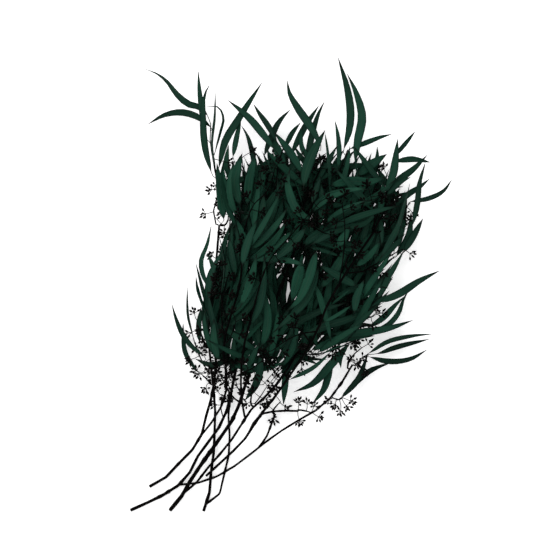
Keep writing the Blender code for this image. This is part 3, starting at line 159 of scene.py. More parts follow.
# ---- Leafy sprays: name: (twig route, leaves); a leaf is (width, height at base, height at tip, route) ----
# A leaf may end with its own twist, in radians from base to tip.
SPRAYS = {
    "spray_top_left": (
        [(-10.9, 10.5, 4.4), (-11, 14, 4.6), (-11.6, 18, 4.4), (-12.2, 21.5, 4.0), (-12.1, 24.3, 3.6)], [
            (1.0, 3.4, 1.2, [(-12.1, 24.9), (-13.6, 26.7), (-15.3, 27.2), (-17, 28.6), (-18.9, 31),
                             (-20.3, 32), (-22.6, 32.8)], 1.5),
            (0.9, 3.2, 0.0, [(-12.2, 23.8), (-13.7, 25.1), (-16.8, 26.1), (-19, 25.8), (-21.8, 24.4)]),
            (0.75, 4.4, 3.5, [(-12.8, 22.5), (-13.4, 26), (-13.8, 29.4), (-14, 32.3)]),
            (0.9, 5.2, 4.5, [(-12, 17), (-12.8, 20), (-13.2, 25), (-12.9, 28.7), (-12.2, 30.1)]),
            (1.05, 5.6, 4.0, [(-11.3, 17.3), (-12, 21), (-11.6, 25), (-11.4, 29)]),
            (0.35, 3.4, 2.4, [(-11.4, 20.2), (-10.6, 23.2), (-10.2, 25), (-11, 26.8), (-12.8, 26.9)]),
            (1.25, 6.2, 6.6, [(-10.1, 9.9), (-10.6, 14), (-11.1, 18.2)]),
            (1.05, 5.0, 2.2, [(-10.8, 17.7), (-9.7, 21.9), (-8.5, 23.9), (-6.1, 27.8), (-4.3, 30.7)]),
        ]),
    "spray_upper_left": (
        [(-7.4, 8.5, 6.4), (-7.3, 12, 6.0), (-7, 15.5, 5.6), (-7.4, 19, 5.0)], [
            (0.75, 5.2, 3.6, [(-8.7, 19.3), (-8, 22.9), (-7.5, 25)]),
            (0.7, 5.8, 4.4, [(-5.5, 17), (-5.8, 19.6), (-6.7, 22.6), (-7.5, 23.9)]),
            (1.5, 7.8, 7.2, [(-7.6, 12), (-8.5, 15), (-8, 17.5), (-7.3, 19.6)]),
            (1.35, 8.4, 7.8, [(-6.5, 12), (-6.3, 15), (-5.3, 19.5)]),
            (1.0, 7.2, 6.4, [(-5.4, 13.5), (-5.4, 16.5), (-5.3, 19)]),
            (0.85, 9.0, 8.2, [(-5.2, 12.4), (-4.2, 16), (-4.3, 18.4)]),
            (0.8, 5.2, 4.6, [(-9, 15.5), (-9.7, 18), (-9.4, 21)]),
        ]),
    "spray_upper_middle": (
        [(-2.5, 11, 5.6), (-2.3, 14.5, 6.4), (-2, 18, 6.0), (-1.2, 20.6, 5.4)], [
            (1.0, 6.6, 2.6, [(-2.6, 20.3), (-4, 22.2), (-6.1, 24.8), (-9.6, 27.9)]),
            (0.75, 5.2, 2.6, [(-2.2, 21.5), (-3.5, 23.9), (-5, 26.1), (-5.7, 27.3)]),
            (0.85, 4.8, 2.4, [(-4, 19.5), (-3.1, 21.9), (-1.8, 24.6), (-0.1, 26.5)]),
            (0.95, 8.4, 7.6, [(-2.4, 14.9), (-3.3, 17.6), (-3.6, 20)]),
            (1.2, 8.0, 5.0, [(1.6, 16.7), (0.3, 19), (-1, 20.9), (-2.6, 22.9)]),
            (1.2, 7.0, 4.6, [(-1.0, 17.4), (-2, 20), (-2.9, 22.4)]),
            (0.7, 4.6, 3.4, [(-1, 20.6), (0.2, 22.9), (1.4, 24.4)]),
            (0.85, 5.4, 2.4, [(0, 19.6), (1.8, 23.3), (4.2, 27.1)]),
        ]),
    "spray_top_middle": (
        [(2.1, 11.6, 6.4), (2.4, 14, 7.0), (2.6, 17, 6.6), (3.6, 20.3, 6.0)], [
            (1.05, 7.2, 3.0, [(4.3, 20.9), (2.9, 23.5), (0.7, 26.9), (-0.3, 28.8), (-0.6, 30.9)]),
            (0.85, 5.2, 2.8, [(2.2, 17), (2.6, 20), (3.3, 23.3), (4.2, 26), (5.1, 27.8)]),
            (1.35, 9.0, 7.4, [(1.8, 14.6), (2.1, 16.6), (2.9, 19), (5, 23)]),
            (1.05, 7.6, 6.6, [(1.5, 12.3), (0.8, 14.6), (0.2, 17)]),
            (0.85, 8.0, 7.4, [(3.1, 12.2), (3.6, 14), (4.4, 16.2)]),
            (0.7, 5.6, 4.6, [(3.4, 18), (1.6, 20.4), (1.6, 24)]),
        ]),
    "spray_top_right": (
        [(7.2, 8.6, 6.0), (6.6, 12, 6.6), (7.1, 16.5, 6.2), (8.4, 20.2, 5.4)], [
            (1.35, 8.8, 7.2, [(5.8, 12.2), (5.6, 15), (5.4, 18), (5, 22.5)]),
            (0.7, 6.2, 4.0, [(7, 17.5), (7.1, 20), (6.8, 23.3), (6.5, 24.8)]),
            (1.05, 5.0, 0.0, [(7.9, 20.5), (8.7, 23.3), (8.9, 25.5), (8.4, 29.9), (7.5, 33.2), (7.1, 34.6)]),
            (1.15, 6.2, 2.2, [(9.5, 18.4), (9.9, 21.5), (10.6, 25), (9.7, 29), (8.4, 31.9)]),
            (0.7, 5.2, 3.2, [(8.9, 20.4), (11.6, 21.5), (13.4, 22.2), (15.2, 22.7)]),
            (1.3, 9.0, 7.2, [(5.8, 14.7), (8, 15.3), (12, 15.4), (14.2, 16.1)]),
            (1.1, 7.4, 6.6, [(5.9, 11.6), (8, 12.6), (10.4, 14.4)]),
        ]),
    "spray_upper_right": (
        [(8.3, 8.8, 6.0), (9.6, 13, 5.8), (10.4, 16.5, 5.4), (11.6, 18.6, 4.8)], [
            (1.25, 7.4, 6.6, [(9.8, 14.8), (9.5, 18), (9.4, 20.8)]),
            (1.25, 6.6, 4.8, [(9.8, 16.3), (12, 18), (14.3, 19.6)]),
            (0.35, 4.6, 4.0, [(11.4, 17), (11.6, 18.4), (12, 19.8)]),
            (0.6, 4.8, 3.8, [(11.9, 17), (12.8, 19), (12.9, 20.8)]),
            (1.0, 5.6, 4.6, [(10.6, 14.4), (11.9, 17), (13.4, 18.4)]),
        ]),
    "spray_right_top": (
        [(11.9, 8.6, 7.4), (13.2, 11, 6.8), (14.1, 13.2, 6.2), (15, 16.6, 5.2), (15.4, 18.6, 4.6)], [
            (1.05, 6.8, 5.0, [(14, 13.8), (15.2, 16.7), (15.5, 18.5), (15.9, 21.9)]),
            (0.6, 4.2, 2.6, [(15.5, 19.3), (17.6, 21.8), (18.7, 23.2)]),
            (0.8, 3.8, 2.2, [(15.7, 18.6), (18.3, 18.9), (21, 18.5)]),
            (0.9, 5.4, 3.0, [(14.3, 13.8), (15.8, 15.5), (18.3, 17.4), (20.5, 19.6)]),
            (0.7, 6.0, 4.8, [(14.2, 13.4), (16.4, 15.4), (17.8, 16.1)]),
            (0.3, 5.2, 4.6, [(14.4, 13.3), (16, 13.5), (17.3, 13.9)]),
            (0.9, 7.6, 6.8, [(12.7, 9.6), (13.3, 12), (13.6, 15.4)]),
        ]),
    "spray_right_upper": (
        [(12.6, 7.4, 7.0), (14.6, 8.6, 6.6), (16.3, 10.8, 5.6), (17.8, 12.3, 4.8)], [
            (0.9, 6.8, 4.2, [(18, 9), (18.7, 12.1), (19.1, 15.2), (20.1, 18.4)]),
            (0.8, 6.0, 3.4, [(15.3, 11.6), (17.1, 13.3), (19.5, 14.9), (20.8, 16)]),
            (0.65, 4.6, 0.0, [(18, 12.5), (20.6, 13), (23, 14.2), (24.4, 16)]),
            (0.75, 7.6, 6.4, [(13.4, 6), (13.3, 8.5), (13.3, 11.6)]),
            (0.9, 5.4, 4.2, [(15.6, 7), (15.2, 10), (15.9, 13.6)]),
        ]),
    "spray_right_middle": (
        [(8.5, 1.6, 9.2), (10.6, 2, 7.4), (12.6, 3.2, 6.6), (15, 4.4, 5.8), (16.6, 5.4, 5.2)], [
            (1.0, 8.2, 5.6, [(13.2, 4), (14.5, 6.3), (15.7, 8.5), (16.4, 10.7), (17.7, 15.2)]),
            (1.05, 7.4, 5.6, [(11.7, 2), (12.8, 3.5), (14, 4.8), (15.3, 5.8), (17, 7.7)]),
            (0.9, 5.0, 3.2, [(16.9, 5), (17.5, 6), (18.8, 8.2), (19.8, 10)]),
            (1.15, 8.8, 7.6, [(9.8, 4.5), (11.1, 6.2), (12.7, 8.2)]),
            (0.9, 4.8, 3.6, [(15.8, 4.4), (17.6, 7.4), (18, 11)]),
            (1.0, 8.4, 7.4, [(9.6, 2.8), (11.4, 4.2), (13.2, 6.6)]),
        ]),
    "spray_right": (
        [(4.9, -2.4, 5.6), (8, -3.4, 6.4), (10.4, -3, 6.2), (12.2, -2.5, 5.6)], [
            (1.0, 5.6, 0.0, [(12.2, -2.4), (14.2, -2.1), (16, -1.4), (19.3, 0.6), (22.6, 2.2)]),
            (0.95, 6.6, 4.8, [(12.8, -2), (13.7, -0.4), (14.3, 1), (15.9, 3.6), (16.9, 5.3)]),
            (1.05, 8.6, 8.0, [(9.3, -4), (9.6, -2), (10.8, 0.9)]),
            (1.1, 8.4, 9.6, [(9.5, -0.1), (7, 1.3), (4, 3)]),
            (0.9, 7.2, 5.8, [(10.6, -2), (12.2, 0), (12.8, 3)]),
            (0.85, 7.8, 8.6, [(6, -2.9), (7.4, -1.8), (8.9, -0.4)]),
        ]),
    "spray_right_lower": (
        [(1.6, -9, 5.5), (4.5, -8.6, 5.8), (8, -7.6, 5.2), (11.3, -6.6, 4.4)], [
            (0.7, 3.8, 2.6, [(12.5, -6.8), (14.5, -6), (16.1, -4.2), (17, -1.9), (17.7, -0.9)]),
            (0.8, 4.8, 3.4, [(11.6, -6.3), (13.5, -5.1), (15.7, -2.9), (17, -1.7)]),
            (1.15, 8.6, 6.0, [(1.1, -7.9), (5, -6.1), (9, -4.9), (13, -2.8)]),
            (1.15, 7.2, 4.8, [(3.2, -9.6), (6, -8.4), (9, -7.8), (12.5, -7.6)]),
            (1.05, 6.4, 1.6, [(6, -7.3), (9, -7.2), (12, -6.9), (14.5, -6.5), (18.4, -5.3)]),
            (0.5, 9.8, 9.2, [(5.2, -5.2), (7, -4.2), (8.9, -2.9)]),
        ]),
    "spray_bottom_right": (
        [(9.4, -11.4, 3.0), (10.6, -10.9, 2.8), (11.7, -10.5, 2.5)], [
            (0.7, 2.8, 1.0, [(11.8, -10.2), (14.3, -8.6), (18, -7.7), (21.6, -7.4)]),
            (0.7, 2.4, 0.5, [(12.3, -10.6), (15.5, -9.5), (21, -8.2)]),
            (0.8, 2.0, 0.0, [(12, -10.9), (14.5, -11.5), (18, -11.2), (20.7, -9.8)]),
        ]),
    "spray_bottom_right_low": (
        [(6.5, -17.1, 2.3), (7.3, -17.3, 2.2), (7.8, -17, 2.2)], [
            (0.9, 2.0, 0.9, [(7.7, -17), (9.5, -15), (12, -13), (15.3, -11.7)]),
            (0.8, 2.8, 2.4, [(7.6, -16.9), (10, -14.2), (11.6, -10.2)]),
        ]),
    "spray_bottom_middle": (
        [(1.2, -10.2, 5.3), (3.4, -10.4, 6.2), (6, -9.8, 6.4), (9.2, -8.3, 6.2)], [
            (1.1, 6.8, 3.4, [(8.5, -8.8), (5.8, -12), (3.2, -14.8), (0.3, -16.1)]),
            (1.05, 6.0, 3.0, [(6, -11.2), (5.6, -13.5), (5, -15.5), (3.1, -18)]),
            (0.6, 7.4, 7.2, [(0, -13.9), (3.2, -12.3), (6, -9.8)]),
            (0.7, 5.8, 5.2, [(8.1, -9.1), (7.3, -10.8), (7.4, -12.4)]),
            (1.05, 8.0, 7.6, [(4.7, -10.2), (6.4, -9.4), (8.4, -8.9)]),
        ]),
    "spray_bottom_left": (
        [(-1.9, -13.8, 5.2), (-3.4, -11.6, 6.2), (-5, -9.4, 7.0)], [
            (0.9, 5.0, 4.0, [(-0.8, -12.6), (-1, -15.5), (-1.2, -18)]),
            (1.0, 5.4, 3.4, [(-4.6, -12.2), (-5.4, -15), (-7, -17.4)]),
            (1.05, 7.6, 8.2, [(-5, -14.5), (-4.6, -12), (-4.4, -9.2)]),
            (0.9, 8.2, 8.6, [(-6.5, -12.3), (-5.7, -10.6), (-4.8, -8.6)]),
            (1.0, 8.8, 9.6, [(-6.3, -6.1), (-4.8, -3.5), (-4.1, 0), (-4, 4.6)]),
            (1.0, 8.0, 8.6, [(-3.4, -5.9), (-3.7, -3.4), (-3.9, -0.8)]),
            (1.1, 6.0, 4.6, [(-2.6, -10.8), (-4.6, -7.6), (-7.4, -5.4)]),
            (1.0, 7.6, 8.0, [(-0.5, -8), (0.3, -6.3), (3.5, -4.2), (8.2, -2.6)]),
        ]),
    "spray_centre": (
        [(1.3, 8, 6.1), (1.6, 6, 8.4), (2.4, 3.8, 9.4), (3.2, 1.4, 9.6), (3.4, -1, 9.4)], [
            (1.6, 10.6, 10.0, [(1.5, 3.2), (0.7, 0), (0, -2.7)]),
            (1.25, 11.6, 10.8, [(3.6, 4.9), (2.5, 1), (1, -2.2), (-0.8, -4)]),
            (1.15, 10.4, 9.6, [(3.9, 2.5), (2.2, -2), (-0.3, -4.8), (-2.7, -7)]),
            (1.25, 8.8, 7.6, [(1.4, 5.2), (4.5, 8), (7, 11.4)]),
            (1.05, 9.8, 8.2, [(3, 6), (7, 8.2), (11, 9.2), (13.3, 11.5)]),
            (0.6, 9.2, 8.6, [(2.8, 5.6), (5, 5), (7.4, 4.2)]),
            (1.2, 8.4, 7.2, [(4.4, -0.4), (6.8, 2.8), (8.6, 7)]),
            (1.15, 10.2, 9.2, [(6.4, 5.4), (7.6, 6.9), (8.6, 8.7)]),
        ]),
    "spray_centre_top": (
        [(2.3, 11.9, 6.3), (2.9, 10.2, 8.2), (3.3, 8.4, 9.2), (5, 7.6, 9.6)], [
            (1.15, 10.4, 9.4, [(2.7, 9.7), (1.1, 10.7), (-0.3, 13.5), (-0.6, 15), (-0.2, 17.2)]),
            (1.15, 11.0, 10.4, [(2, 8.3), (-0.5, 5.4), (-3.6, 2.9)]),
            (0.7, 10.2, 10.0, [(-0.1, 7.8), (-2.6, 5.3), (-4, 3.6)]),
            (1.0, 8.6, 7.2, [(4.2, 9), (4.6, 12), (4.2, 15.6)]),
        ]),
    "spray_centre_left": (
        [(-7.4, 4.5, 7.3), (-7, 3.2, 8.6), (-6.6, 5.4, 9.0), (-5.2, 7.8, 9.0)], [
            (1.05, 9.8, 9.0, [(-3.9, 9), (-4.2, 11.2), (-4.1, 13.4)]),
            (1.1, 10.4, 9.4, [(-7.2, 3), (-6.7, 5.5), (-5, 9.8)]),
            (0.9, 8.6, 7.4, [(-6.3, 5), (-7.4, 8), (-8.3, 10)]),
            (1.1, 8.0, 6.8, [(-4.8, 7), (-2.2, 9.6), (-1.2, 13)]),
        ]),
    "spray_left_middle": (
        [(-9.9, -7.2, 7.7), (-10.4, -4.4, 7.0), (-10.2, -1.4, 6.6), (-9.4, 1.6, 6.4)], [
            (1.05, 8.4, 7.2, [(-10.6, -2.4), (-10.1, 1.3), (-10, 3.1), (-10.8, 7.6)]),
            (0.95, 9.0, 7.8, [(-9.7, -3.2), (-8.9, 0.5), (-9.7, 5.1)]),
            (0.95, 7.6, 6.6, [(-8.3, 1.5), (-8.7, 3.5), (-9.2, 7.2)]),
            (0.8, 5.8, 5.4, [(-10.4, 1.6), (-10.2, 5), (-9.2, 9)]),
            (1.15, 9.4, 9.8, [(-7.4, -2.9), (-6, 0.7), (-5.1, 4.6)]),
        ]),
    "spray_left": (
        [(-12.1, -10.4, 3.9), (-12.3, -7.2, 4.6), (-12.3, -4.2, 4.8), (-12, -1, 4.6)], [
            (0.7, 5.2, 3.8, [(-12.3, -0.5), (-13.3, 1.9), (-13.5, 3.4), (-12.6, 6), (-12, 9)]),
            (0.65, 5.6, 4.6, [(-11.3, 0.5), (-11.8, 3), (-12.6, 4.8)]),
            (0.5, 4.4, 3.0, [(-12.4, -4), (-13.5, 0), (-14.4, 3.4)]),
            (1.15, 6.4, 4.6, [(-12.2, -5.1), (-13.1, -3.4), (-14.1, -0.4), (-14.3, 1.4)]),
            (1.15, 7.6, 7.2, [(-10.9, -11), (-11.5, -8), (-11.5, -5)]),
            (0.75, 3.2, 2.4, [(-13.8, -8.5), (-13.9, -6), (-13.6, -3.3)]),
        ]),
    "spray_far_left": (
        [(-12.3, -13.2, 2.6), (-13.4, -11.6, 2.6), (-14.3, -9.6, 2.3), (-14.8, -8, 2.0)], [
            (0.35, 2.2, 1.6, [(-14.9, -7.5), (-15.6, -4.6), (-15.7, -3.1), (-15.7, -0.2)]),
            (0.7, 3.6, 0.9, [(-13.3, -10.5), (-14.5, -9.7), (-16.3, -7.6), (-17.5, -4.9), (-18.1, -2.8)]),
            (0.65, 2.0, 0.0, [(-14.4, -12.8), (-16, -10.3), (-16.4, -7.6), (-16.4, -5.8)]),
        ]),
    "spray_left_low": (
        [(-9.7, -14.4, 5.3), (-9.9, -12.2, 5.0), (-9.4, -10, 5.0)], [
            (0.8, 4.4, 2.8, [(-9.2, -11.2), (-12, -12), (-14.5, -11.1)]),
            (0.75, 6.6, 6.6, [(-8.5, -11.2), (-8.6, -9.3), (-8.5, -7.2)]),
            (1.0, 5.4, 4.6, [(-10.2, -11), (-10.8, -7.6), (-10.2, -4)]),
            (0.9, 6.0, 5.4, [(-8.8, -9.6), (-7.8, -6), (-8.2, -2)]),
        ]),
    # Inner sprays: their leaves follow the rule of growth only.
    "spray_inner_a": ([(-11.2, 2.5, 4.4), (-9.6, 5.6, 3.6), (-9.2, 10, 3.4), (-9.6, 13, 3.4)], []),
    "spray_inner_b": ([(-5, -0.4, 4.6), (-6.6, 3.4, 3.8), (-5.9, 8.4, 3.6), (-5.2, 12, 3.4)], []),
    "spray_inner_c": ([(-3, 8, 5.5), (-1, 11.4, 3.6), (-0.4, 15.4, 3.4)], []),
    "spray_inner_d": ([(-0.9, 1.6, 5.4), (0.8, 6.6, 3.2), (1.8, 11.4, 3.0), (3.6, 14.6, 3.0)], []),
    "spray_inner_e": ([(4.7, -1.2, 5.6), (8.4, 3.8, 3.4), (10.4, 8, 3.2), (11.6, 12, 3.2)], []),
    "spray_inner_f": ([(2.8, -5.8, 5.5), (7.2, -3.6, 3.6), (11.6, 0, 3.2)], []),
    "spray_inner_g": ([(-3.9, -7, 4.3), (-1.4, -3.6, 2.8), (2.4, 0.6, 2.4), (5, 5, 2.4)], []),
    "spray_inner_h": ([(-7.5, -9.6, 3.3), (-8.6, -6, 3.6), (-8.6, -2, 3.6), (-8, 1.6, 3.6)], []),
    "spray_inner_i": ([(6.4, 5, 5.8), (5.2, 9, 3.8), (7.4, 13, 3.4), (9, 15.6, 3.2)], []),
    "spray_inner_j": ([(-4.7, -9, 4.1), (-3.2, -7.6, 1.8), (1.4, -6.6, 1.6), (5.6, -5.2, 1.6)], []),
}

# ---- Bud sprays: name: (twig route, umbel centres) ----
BUD_SPRAYS = {
    "buds_hanging_low": (
        [(-2.3, -19.1, 1.8), (-2.2, -18.2, 1.9), (-1.6, -17.6, 2.0)],
        [(-3.3, -18.4, 1.6), (-1, -18.4, 1.5), (-2.8, -16.3, 2.2), (-2.7, -20.2, 1.4)]),
    "buds_twig_end": (
        [(1.2, -19, 2.4), (2.2, -19, 2.3), (3.2, -19.3, 2.2)],
        [(1.1, -17.8, 2.6), (1.2, -20.4, 2.0), (2.4, -18, 2.4), (3.4, -18.3, 2.8), (4.1, -19.9, 1.9)]),
    "buds_bottom_right": (
        [(8.6, -12.6, 3.0), (9.4, -10.4, 3.6), (10.6, -9.4, 3.8)],
        [(9.6, -11.9, 4.0), (10.1, -8.7, 3.4), (11.5, -8.9, 3.6)]),
    "buds_right": (
        [(9.2, -3.6, 6.6), (10.6, -4.6, 5.4), (12, -4.8, 5.0)],
        [(12.6, -4.2, 5.2), (13.5, -4.2, 4.6), (12.2, -5.8, 5.2), (10.4, -5.6, 5.6)]),
    "buds_far_left": (
        [(-12.5, -9.2, 3.0), (-13.6, -7.2, 2.2), (-14.2, -5.4, 2.2)],
        [(-14.6, -4.3, 2.2), (-15.2, -7.2, 1.8), (-12.9, -6, 2.0)]),
    "buds_low_left": (
        [(-11.9, -15, 2.2), (-12.6, -14.4, 1.6), (-13.4, -13.7, 1.2)],
        [(-14.3, -13, 1.2), (-12.9, -15.6, 1.2), (-12.6, -13.3, 1.7)]),
    "buds_neck": (
        [(-8.3, -17.4, 2.4), (-9.2, -16.4, 2.1), (-9.9, -15.2, 2.0)],
        [(-9.3, -17.2, 1.6), (-10.8, -14.5, 2.2), (-8.9, -14.6, 2.3)]),
    "buds_neck_right": (
        [(-5.6, -18.3, 4.0), (-6, -16.8, 5.2), (-5.8, -15.2, 5.6)],
        [(-6.6, -17.7, 5.2), (-4.7, -17.8, 4.8), (-6.4, -14.4, 6.0)]),
    "buds_upper_left": (
        [(-10.7, 9.4, 4.6), (-9.7, 9, 5.2), (-9.4, 10.6, 5.4)],
        [(-9.9, 7.6, 5.2), (-8.6, 9.6, 5.0), (-9, 12, 5.2), (-10.3, 10.6, 6.0)]),
    "buds_right_top": (
        [(12.9, 10.2, 7.1), (14.2, 11.2, 7.8), (15.2, 12, 7.8)],
        [(14, 12.5, 7.8), (15.7, 12.9, 7.2), (14.7, 10.2, 8.2)]),
    "buds_top": (
        [(2.5, 15.4, 6.8), (3.6, 16.4, 7.2), (4.4, 17.4, 7.0)],
        [(4.4, 18.5, 6.8), (3.4, 17.2, 8.0), (5.3, 17.2, 6.6)]),
    "buds_centre": (
        [(2.8, -8.4, 10.2), (1.2, -6.4, 9.8), (-0.4, -6.2, 9.6)],
        [(-1.2, -5.4, 9.8), (0.6, -5, 10.4), (-1.2, -7.4, 9.6)]),
    "buds_centre_right": (
        [(8.2, 2.2, 9.8), (8.2, 3.9, 10.0), (9, 5.2, 9.8)],
        [(9.6, 5.8, 9.6), (7.4, 4.9, 10.4), (9.9, 4.7, 10.0)]),
}


# ---- Curves ----
def smooth(points, count):
    """`count` points, evenly spaced by length, on a cubic curve through the given points."""
    points = np.asarray(points, float)
    chord = np.linalg.norm(np.diff(points, axis=0), axis=1)
    at = np.concatenate([[0], np.cumsum(chord)])
    straight = len(points) == 2
    slope = np.repeat(np.diff(points, axis=0) / chord, 2, 0) if straight else np.gradient(points, at, axis=0)
    fine = np.linspace(0, at[-1], 12 * len(points))
    i = np.clip(np.searchsorted(at, fine, side="right") - 1, 0, len(points) - 2)
    h = chord[i]
    t = (fine - at[i]) / h
    a, b, c, d = 2 * t**3 - 3 * t**2 + 1, t**3 - 2 * t**2 + t, 3 * t**2 - 2 * t**3, t**3 - t**2
    curve = (a[:, None] * points[i] + (b * h)[:, None] * slope[i]
             + c[:, None] * points[i + 1] + (d * h)[:, None] * slope[i + 1])
    return resampled(curve, np.linspace(0, 1, count))


def resampled(curve, fractions):
    """The points of a polyline at the given fractions of its length."""
    length = np.concatenate([[0], np.cumsum(np.linalg.norm(np.diff(curve, axis=0), axis=1))])
    at = np.asarray(fractions) * length[-1]
    return np.stack([np.interp(at, length, curve[:, k]) for k in range(3)], axis=1)


def length_of(curve):
    return float(np.linalg.norm(np.diff(curve, axis=0), axis=1).sum())


def frames(path, roll=0.0, twist=0.0):
    """Tangent, side and normal at each point; the normal leans from straight up by the roll."""
    tangent = np.gradient(path, axis=0)
    tangent /= np.linalg.norm(tangent, axis=1)[:, None]
    up = np.array([0.0, 0.0, 1.0]) if abs(tangent[:, 2]).max() < 0.95 else np.array([0.6, 0.8, 0.0])
    side = np.cross(tangent, up)
    side /= np.linalg.norm(side, axis=1)[:, None]
    normal = np.cross(side, tangent)
    angle = (roll + twist * np.linspace(0, 1, len(path)))[:, None]
    turned = side * np.cos(angle) + normal * np.sin(angle)
    return tangent, turned, normal * np.cos(angle) - side * np.sin(angle)


# ---- Closed shapes, as (points, faces) ----
def loft(rings, tip=None):
    """A closed skin over rings of equal size, with flat ends or a pointed far end.

    Each four-sided patch folds along the diagonal that stands out, so a twisted blade keeps its depth.
    """
    count, sides = rings.shape[:2]
    points = rings.reshape(-1, 3)
    faces = []
    for i in range(count - 1):
        for j in range(sides):
            k = (j + 1) % sides
            a, b, c, d = i * sides + j, i * sides + k, (i + 1) * sides + k, (i + 1) * sides + j
            outward = np.cross(points[d] - points[b], points[c] - points[a])
            if (points[b] + points[d] - points[a] - points[c]) @ outward > FLAT_ENOUGH:
                faces += [(b, a, d), (b, d, c)]
            else:
                faces += [(b, a, c), (c, a, d)]
    last = (count - 1) * sides
    faces += [(0, j, j + 1) for j in range(1, sides - 1)]
    if tip is None:
        faces += [(last, last + j + 1, last + j) for j in range(1, sides - 1)]
    else:
        points = np.vstack([points, tip])
        faces += [(last + (j + 1) % sides, last + j, len(points) - 1) for j in range(sides)]
    return points, faces


def tube(path, start, end, sides):
    """A tapered round rod along a path, from one radius to another."""
    _, side, normal = frames(path)
    turn = np.linspace(0, 2 * math.pi, sides, endpoint=False)
    radius = np.linspace(start, end, len(path))[:, None, None]
    ring = np.cos(turn)[None, :, None] * side[:, None] + np.sin(turn)[None, :, None] * normal[:, None]
    return loft(path[:, None] + radius * ring)


def blade_width(u):
    """Width along the blade as a share of the widest: a rounded foot and a long fine tip."""
    widest = BLADE_FOOT / (BLADE_FOOT + BLADE_TIP)
    return (u / widest) ** BLADE_FOOT * ((1 - u) / (1 - widest)) ** BLADE_TIP


def leaf_shape(leaf, extra=0.0):
    """Petiole and blade in one: flat above, with the midrib standing out below."""
    curve = leaf["curve"]
    stalk = leaf["stalk"]
    stations = np.concatenate([[0, stalk], stalk + (1 - stalk) * np.array(BLADE_STATIONS), [1]])
    path = resampled(curve, stations)
    _, side, normal = frames(path, leaf["roll"], leaf["twist"])
    width = np.full(len(path), PETIOLE_WIDTH)
    width[2:-1] = np.maximum(leaf["width"] * blade_width(np.array(BLADE_STATIONS)), PETIOLE_WIDTH)
    width += 2 * extra
    depth = np.full(len(path), LEAF_THICKNESS + extra)
    depth[:2] = PETIOLE_DEPTH + extra
    lift = 0.5 * extra * normal
    left = path + lift + side * width[:, None] / 2
    right = path + lift - side * width[:, None] / 2
    keel = path - normal * depth[:, None]
    rings = np.stack([left, right, keel], axis=1)[:-1]
    return loft(rings, path[-1])


def umbel_shape(centre, axis):
    """Buds on thin stalks, grown out of four faces of a small eight-faced core; a fifth hangs back."""
    side = np.cross(axis, [0.3, 0.2, 0.93])
    side /= np.linalg.norm(side)
    third = np.cross(axis, side)
    # The core's three diagonals lean equally towards the axis, so one of its faces looks along it.
    turns = np.radians([90, 210, 330])
    lean = math.acos(1 / math.sqrt(3))
    legs = [math.cos(lean) * axis + math.sin(lean) * (math.cos(turn) * side + math.sin(turn) * third)
            for turn in turns]
    points = [centre + BUD_CORE * leg for leg in legs] + [centre - BUD_CORE * leg for leg in legs]
    faces = []
    for signs in itertools.product((0, 3), repeat=3):
        face = [0 + signs[0], 1 + signs[1], 2 + signs[2]]
        if signs.count(3) % 2:
            face.reverse()
        look = sum(points[i] for i in face) / 3 - centre
        look /= np.linalg.norm(look)
        backward = look @ axis < -0.1
        if backward and signs != (3, 3, 0):
            faces.append(tuple(face))
            continue
        spread = np.array([points[i] for i in face]) - (centre + look * BUD_CORE / math.sqrt(3))
        spread /= np.linalg.norm(spread[0])
        ring = face
        for reach, radius in ((STALK_LENGTH, STALK_RADIUS), (STALK_LENGTH + 0.45 * BUD_LENGTH, BUD_RADIUS)):
            new = list(range(len(points), len(points) + 3))
            points += [centre + look * reach + radius * leg for leg in spread]
            faces += walls(ring, new)
            ring = new
        points.append(centre + look * (STALK_LENGTH + BUD_LENGTH))
        tip = len(points) - 1
        faces += [(ring[j], ring[(j + 1) % 3], tip) for j in range(3)]
    return np.array(points), faces


def walls(low, high):
    """The triangles between two rings of three."""
    found = []
    for j in range(3):
        k = (j + 1) % 3
        found += [(low[j], low[k], high[k]), (low[j], high[k], high[j])]
    return found


# ---- Clearance between pieces ----
class Placed:
    """The pieces already in place, for testing a new one against."""

    def __init__(self):
        self.boxes = np.empty((0, 2, 3))
        self.trees = []

    def add(self, shape, owner):
        points, faces = shape
        tree = BVHTree.FromPolygons([tuple(p) for p in points], faces)
        self.boxes = np.concatenate([self.boxes, [[points.min(0), points.max(0)]]])
        self.trees.append((tree, owner))

    def hits(self, shape, owner, own_too=True):
        """Whether the shape cuts a placed one; pieces of its own spray count unless own_too is off."""
        points, faces = shape
        close = (points.min(0) <= self.boxes[:, 1]).all(1) & (points.max(0) >= self.boxes[:, 0]).all(1)
        tree = None
        for i in np.flatnonzero(close):
            other, name = self.trees[i]
            if name == owner + ".twig" or (name == owner and not own_too):
                continue
            tree = tree or BVHTree.FromPolygons([tuple(p) for p in points], faces)
            if tree.overlap(other):
                return True
        return False


def inside(points, outline):
    """Which points lie in the outline, by the even-odd rule."""
    x, y = points[:, :1], points[:, 1:2]
    start, end = np.array(outline), np.roll(outline, -1, axis=0)
    crosses = (start[:, 1] > y) != (end[:, 1] > y)
    fall = np.where(end[:, 1] == start[:, 1], 1, end[:, 1] - start[:, 1])
    at = start[:, 0] + (y - start[:, 1]) * (end[:, 0] - start[:, 0]) / fall
    return (crosses & (x < at)).sum(1) % 2 == 1


def nearest(path, point):
    gap = np.linalg.norm(path - point, axis=1)
    return int(gap.argmin()), float(gap.min())


def candidates(lifts, turns=(0,), reaches=(1,)):
    """Height changes from small to large, each with a few turns of the leaf and a few petiole lengths."""
    step, most = lifts
    for k in range(int(most / step) + 1):
        for sign in ((1,) if k == 0 else (1, -1)):
            for turn, reach in itertools.product(turns, reaches):
                yield sign * k * step, turn, reach


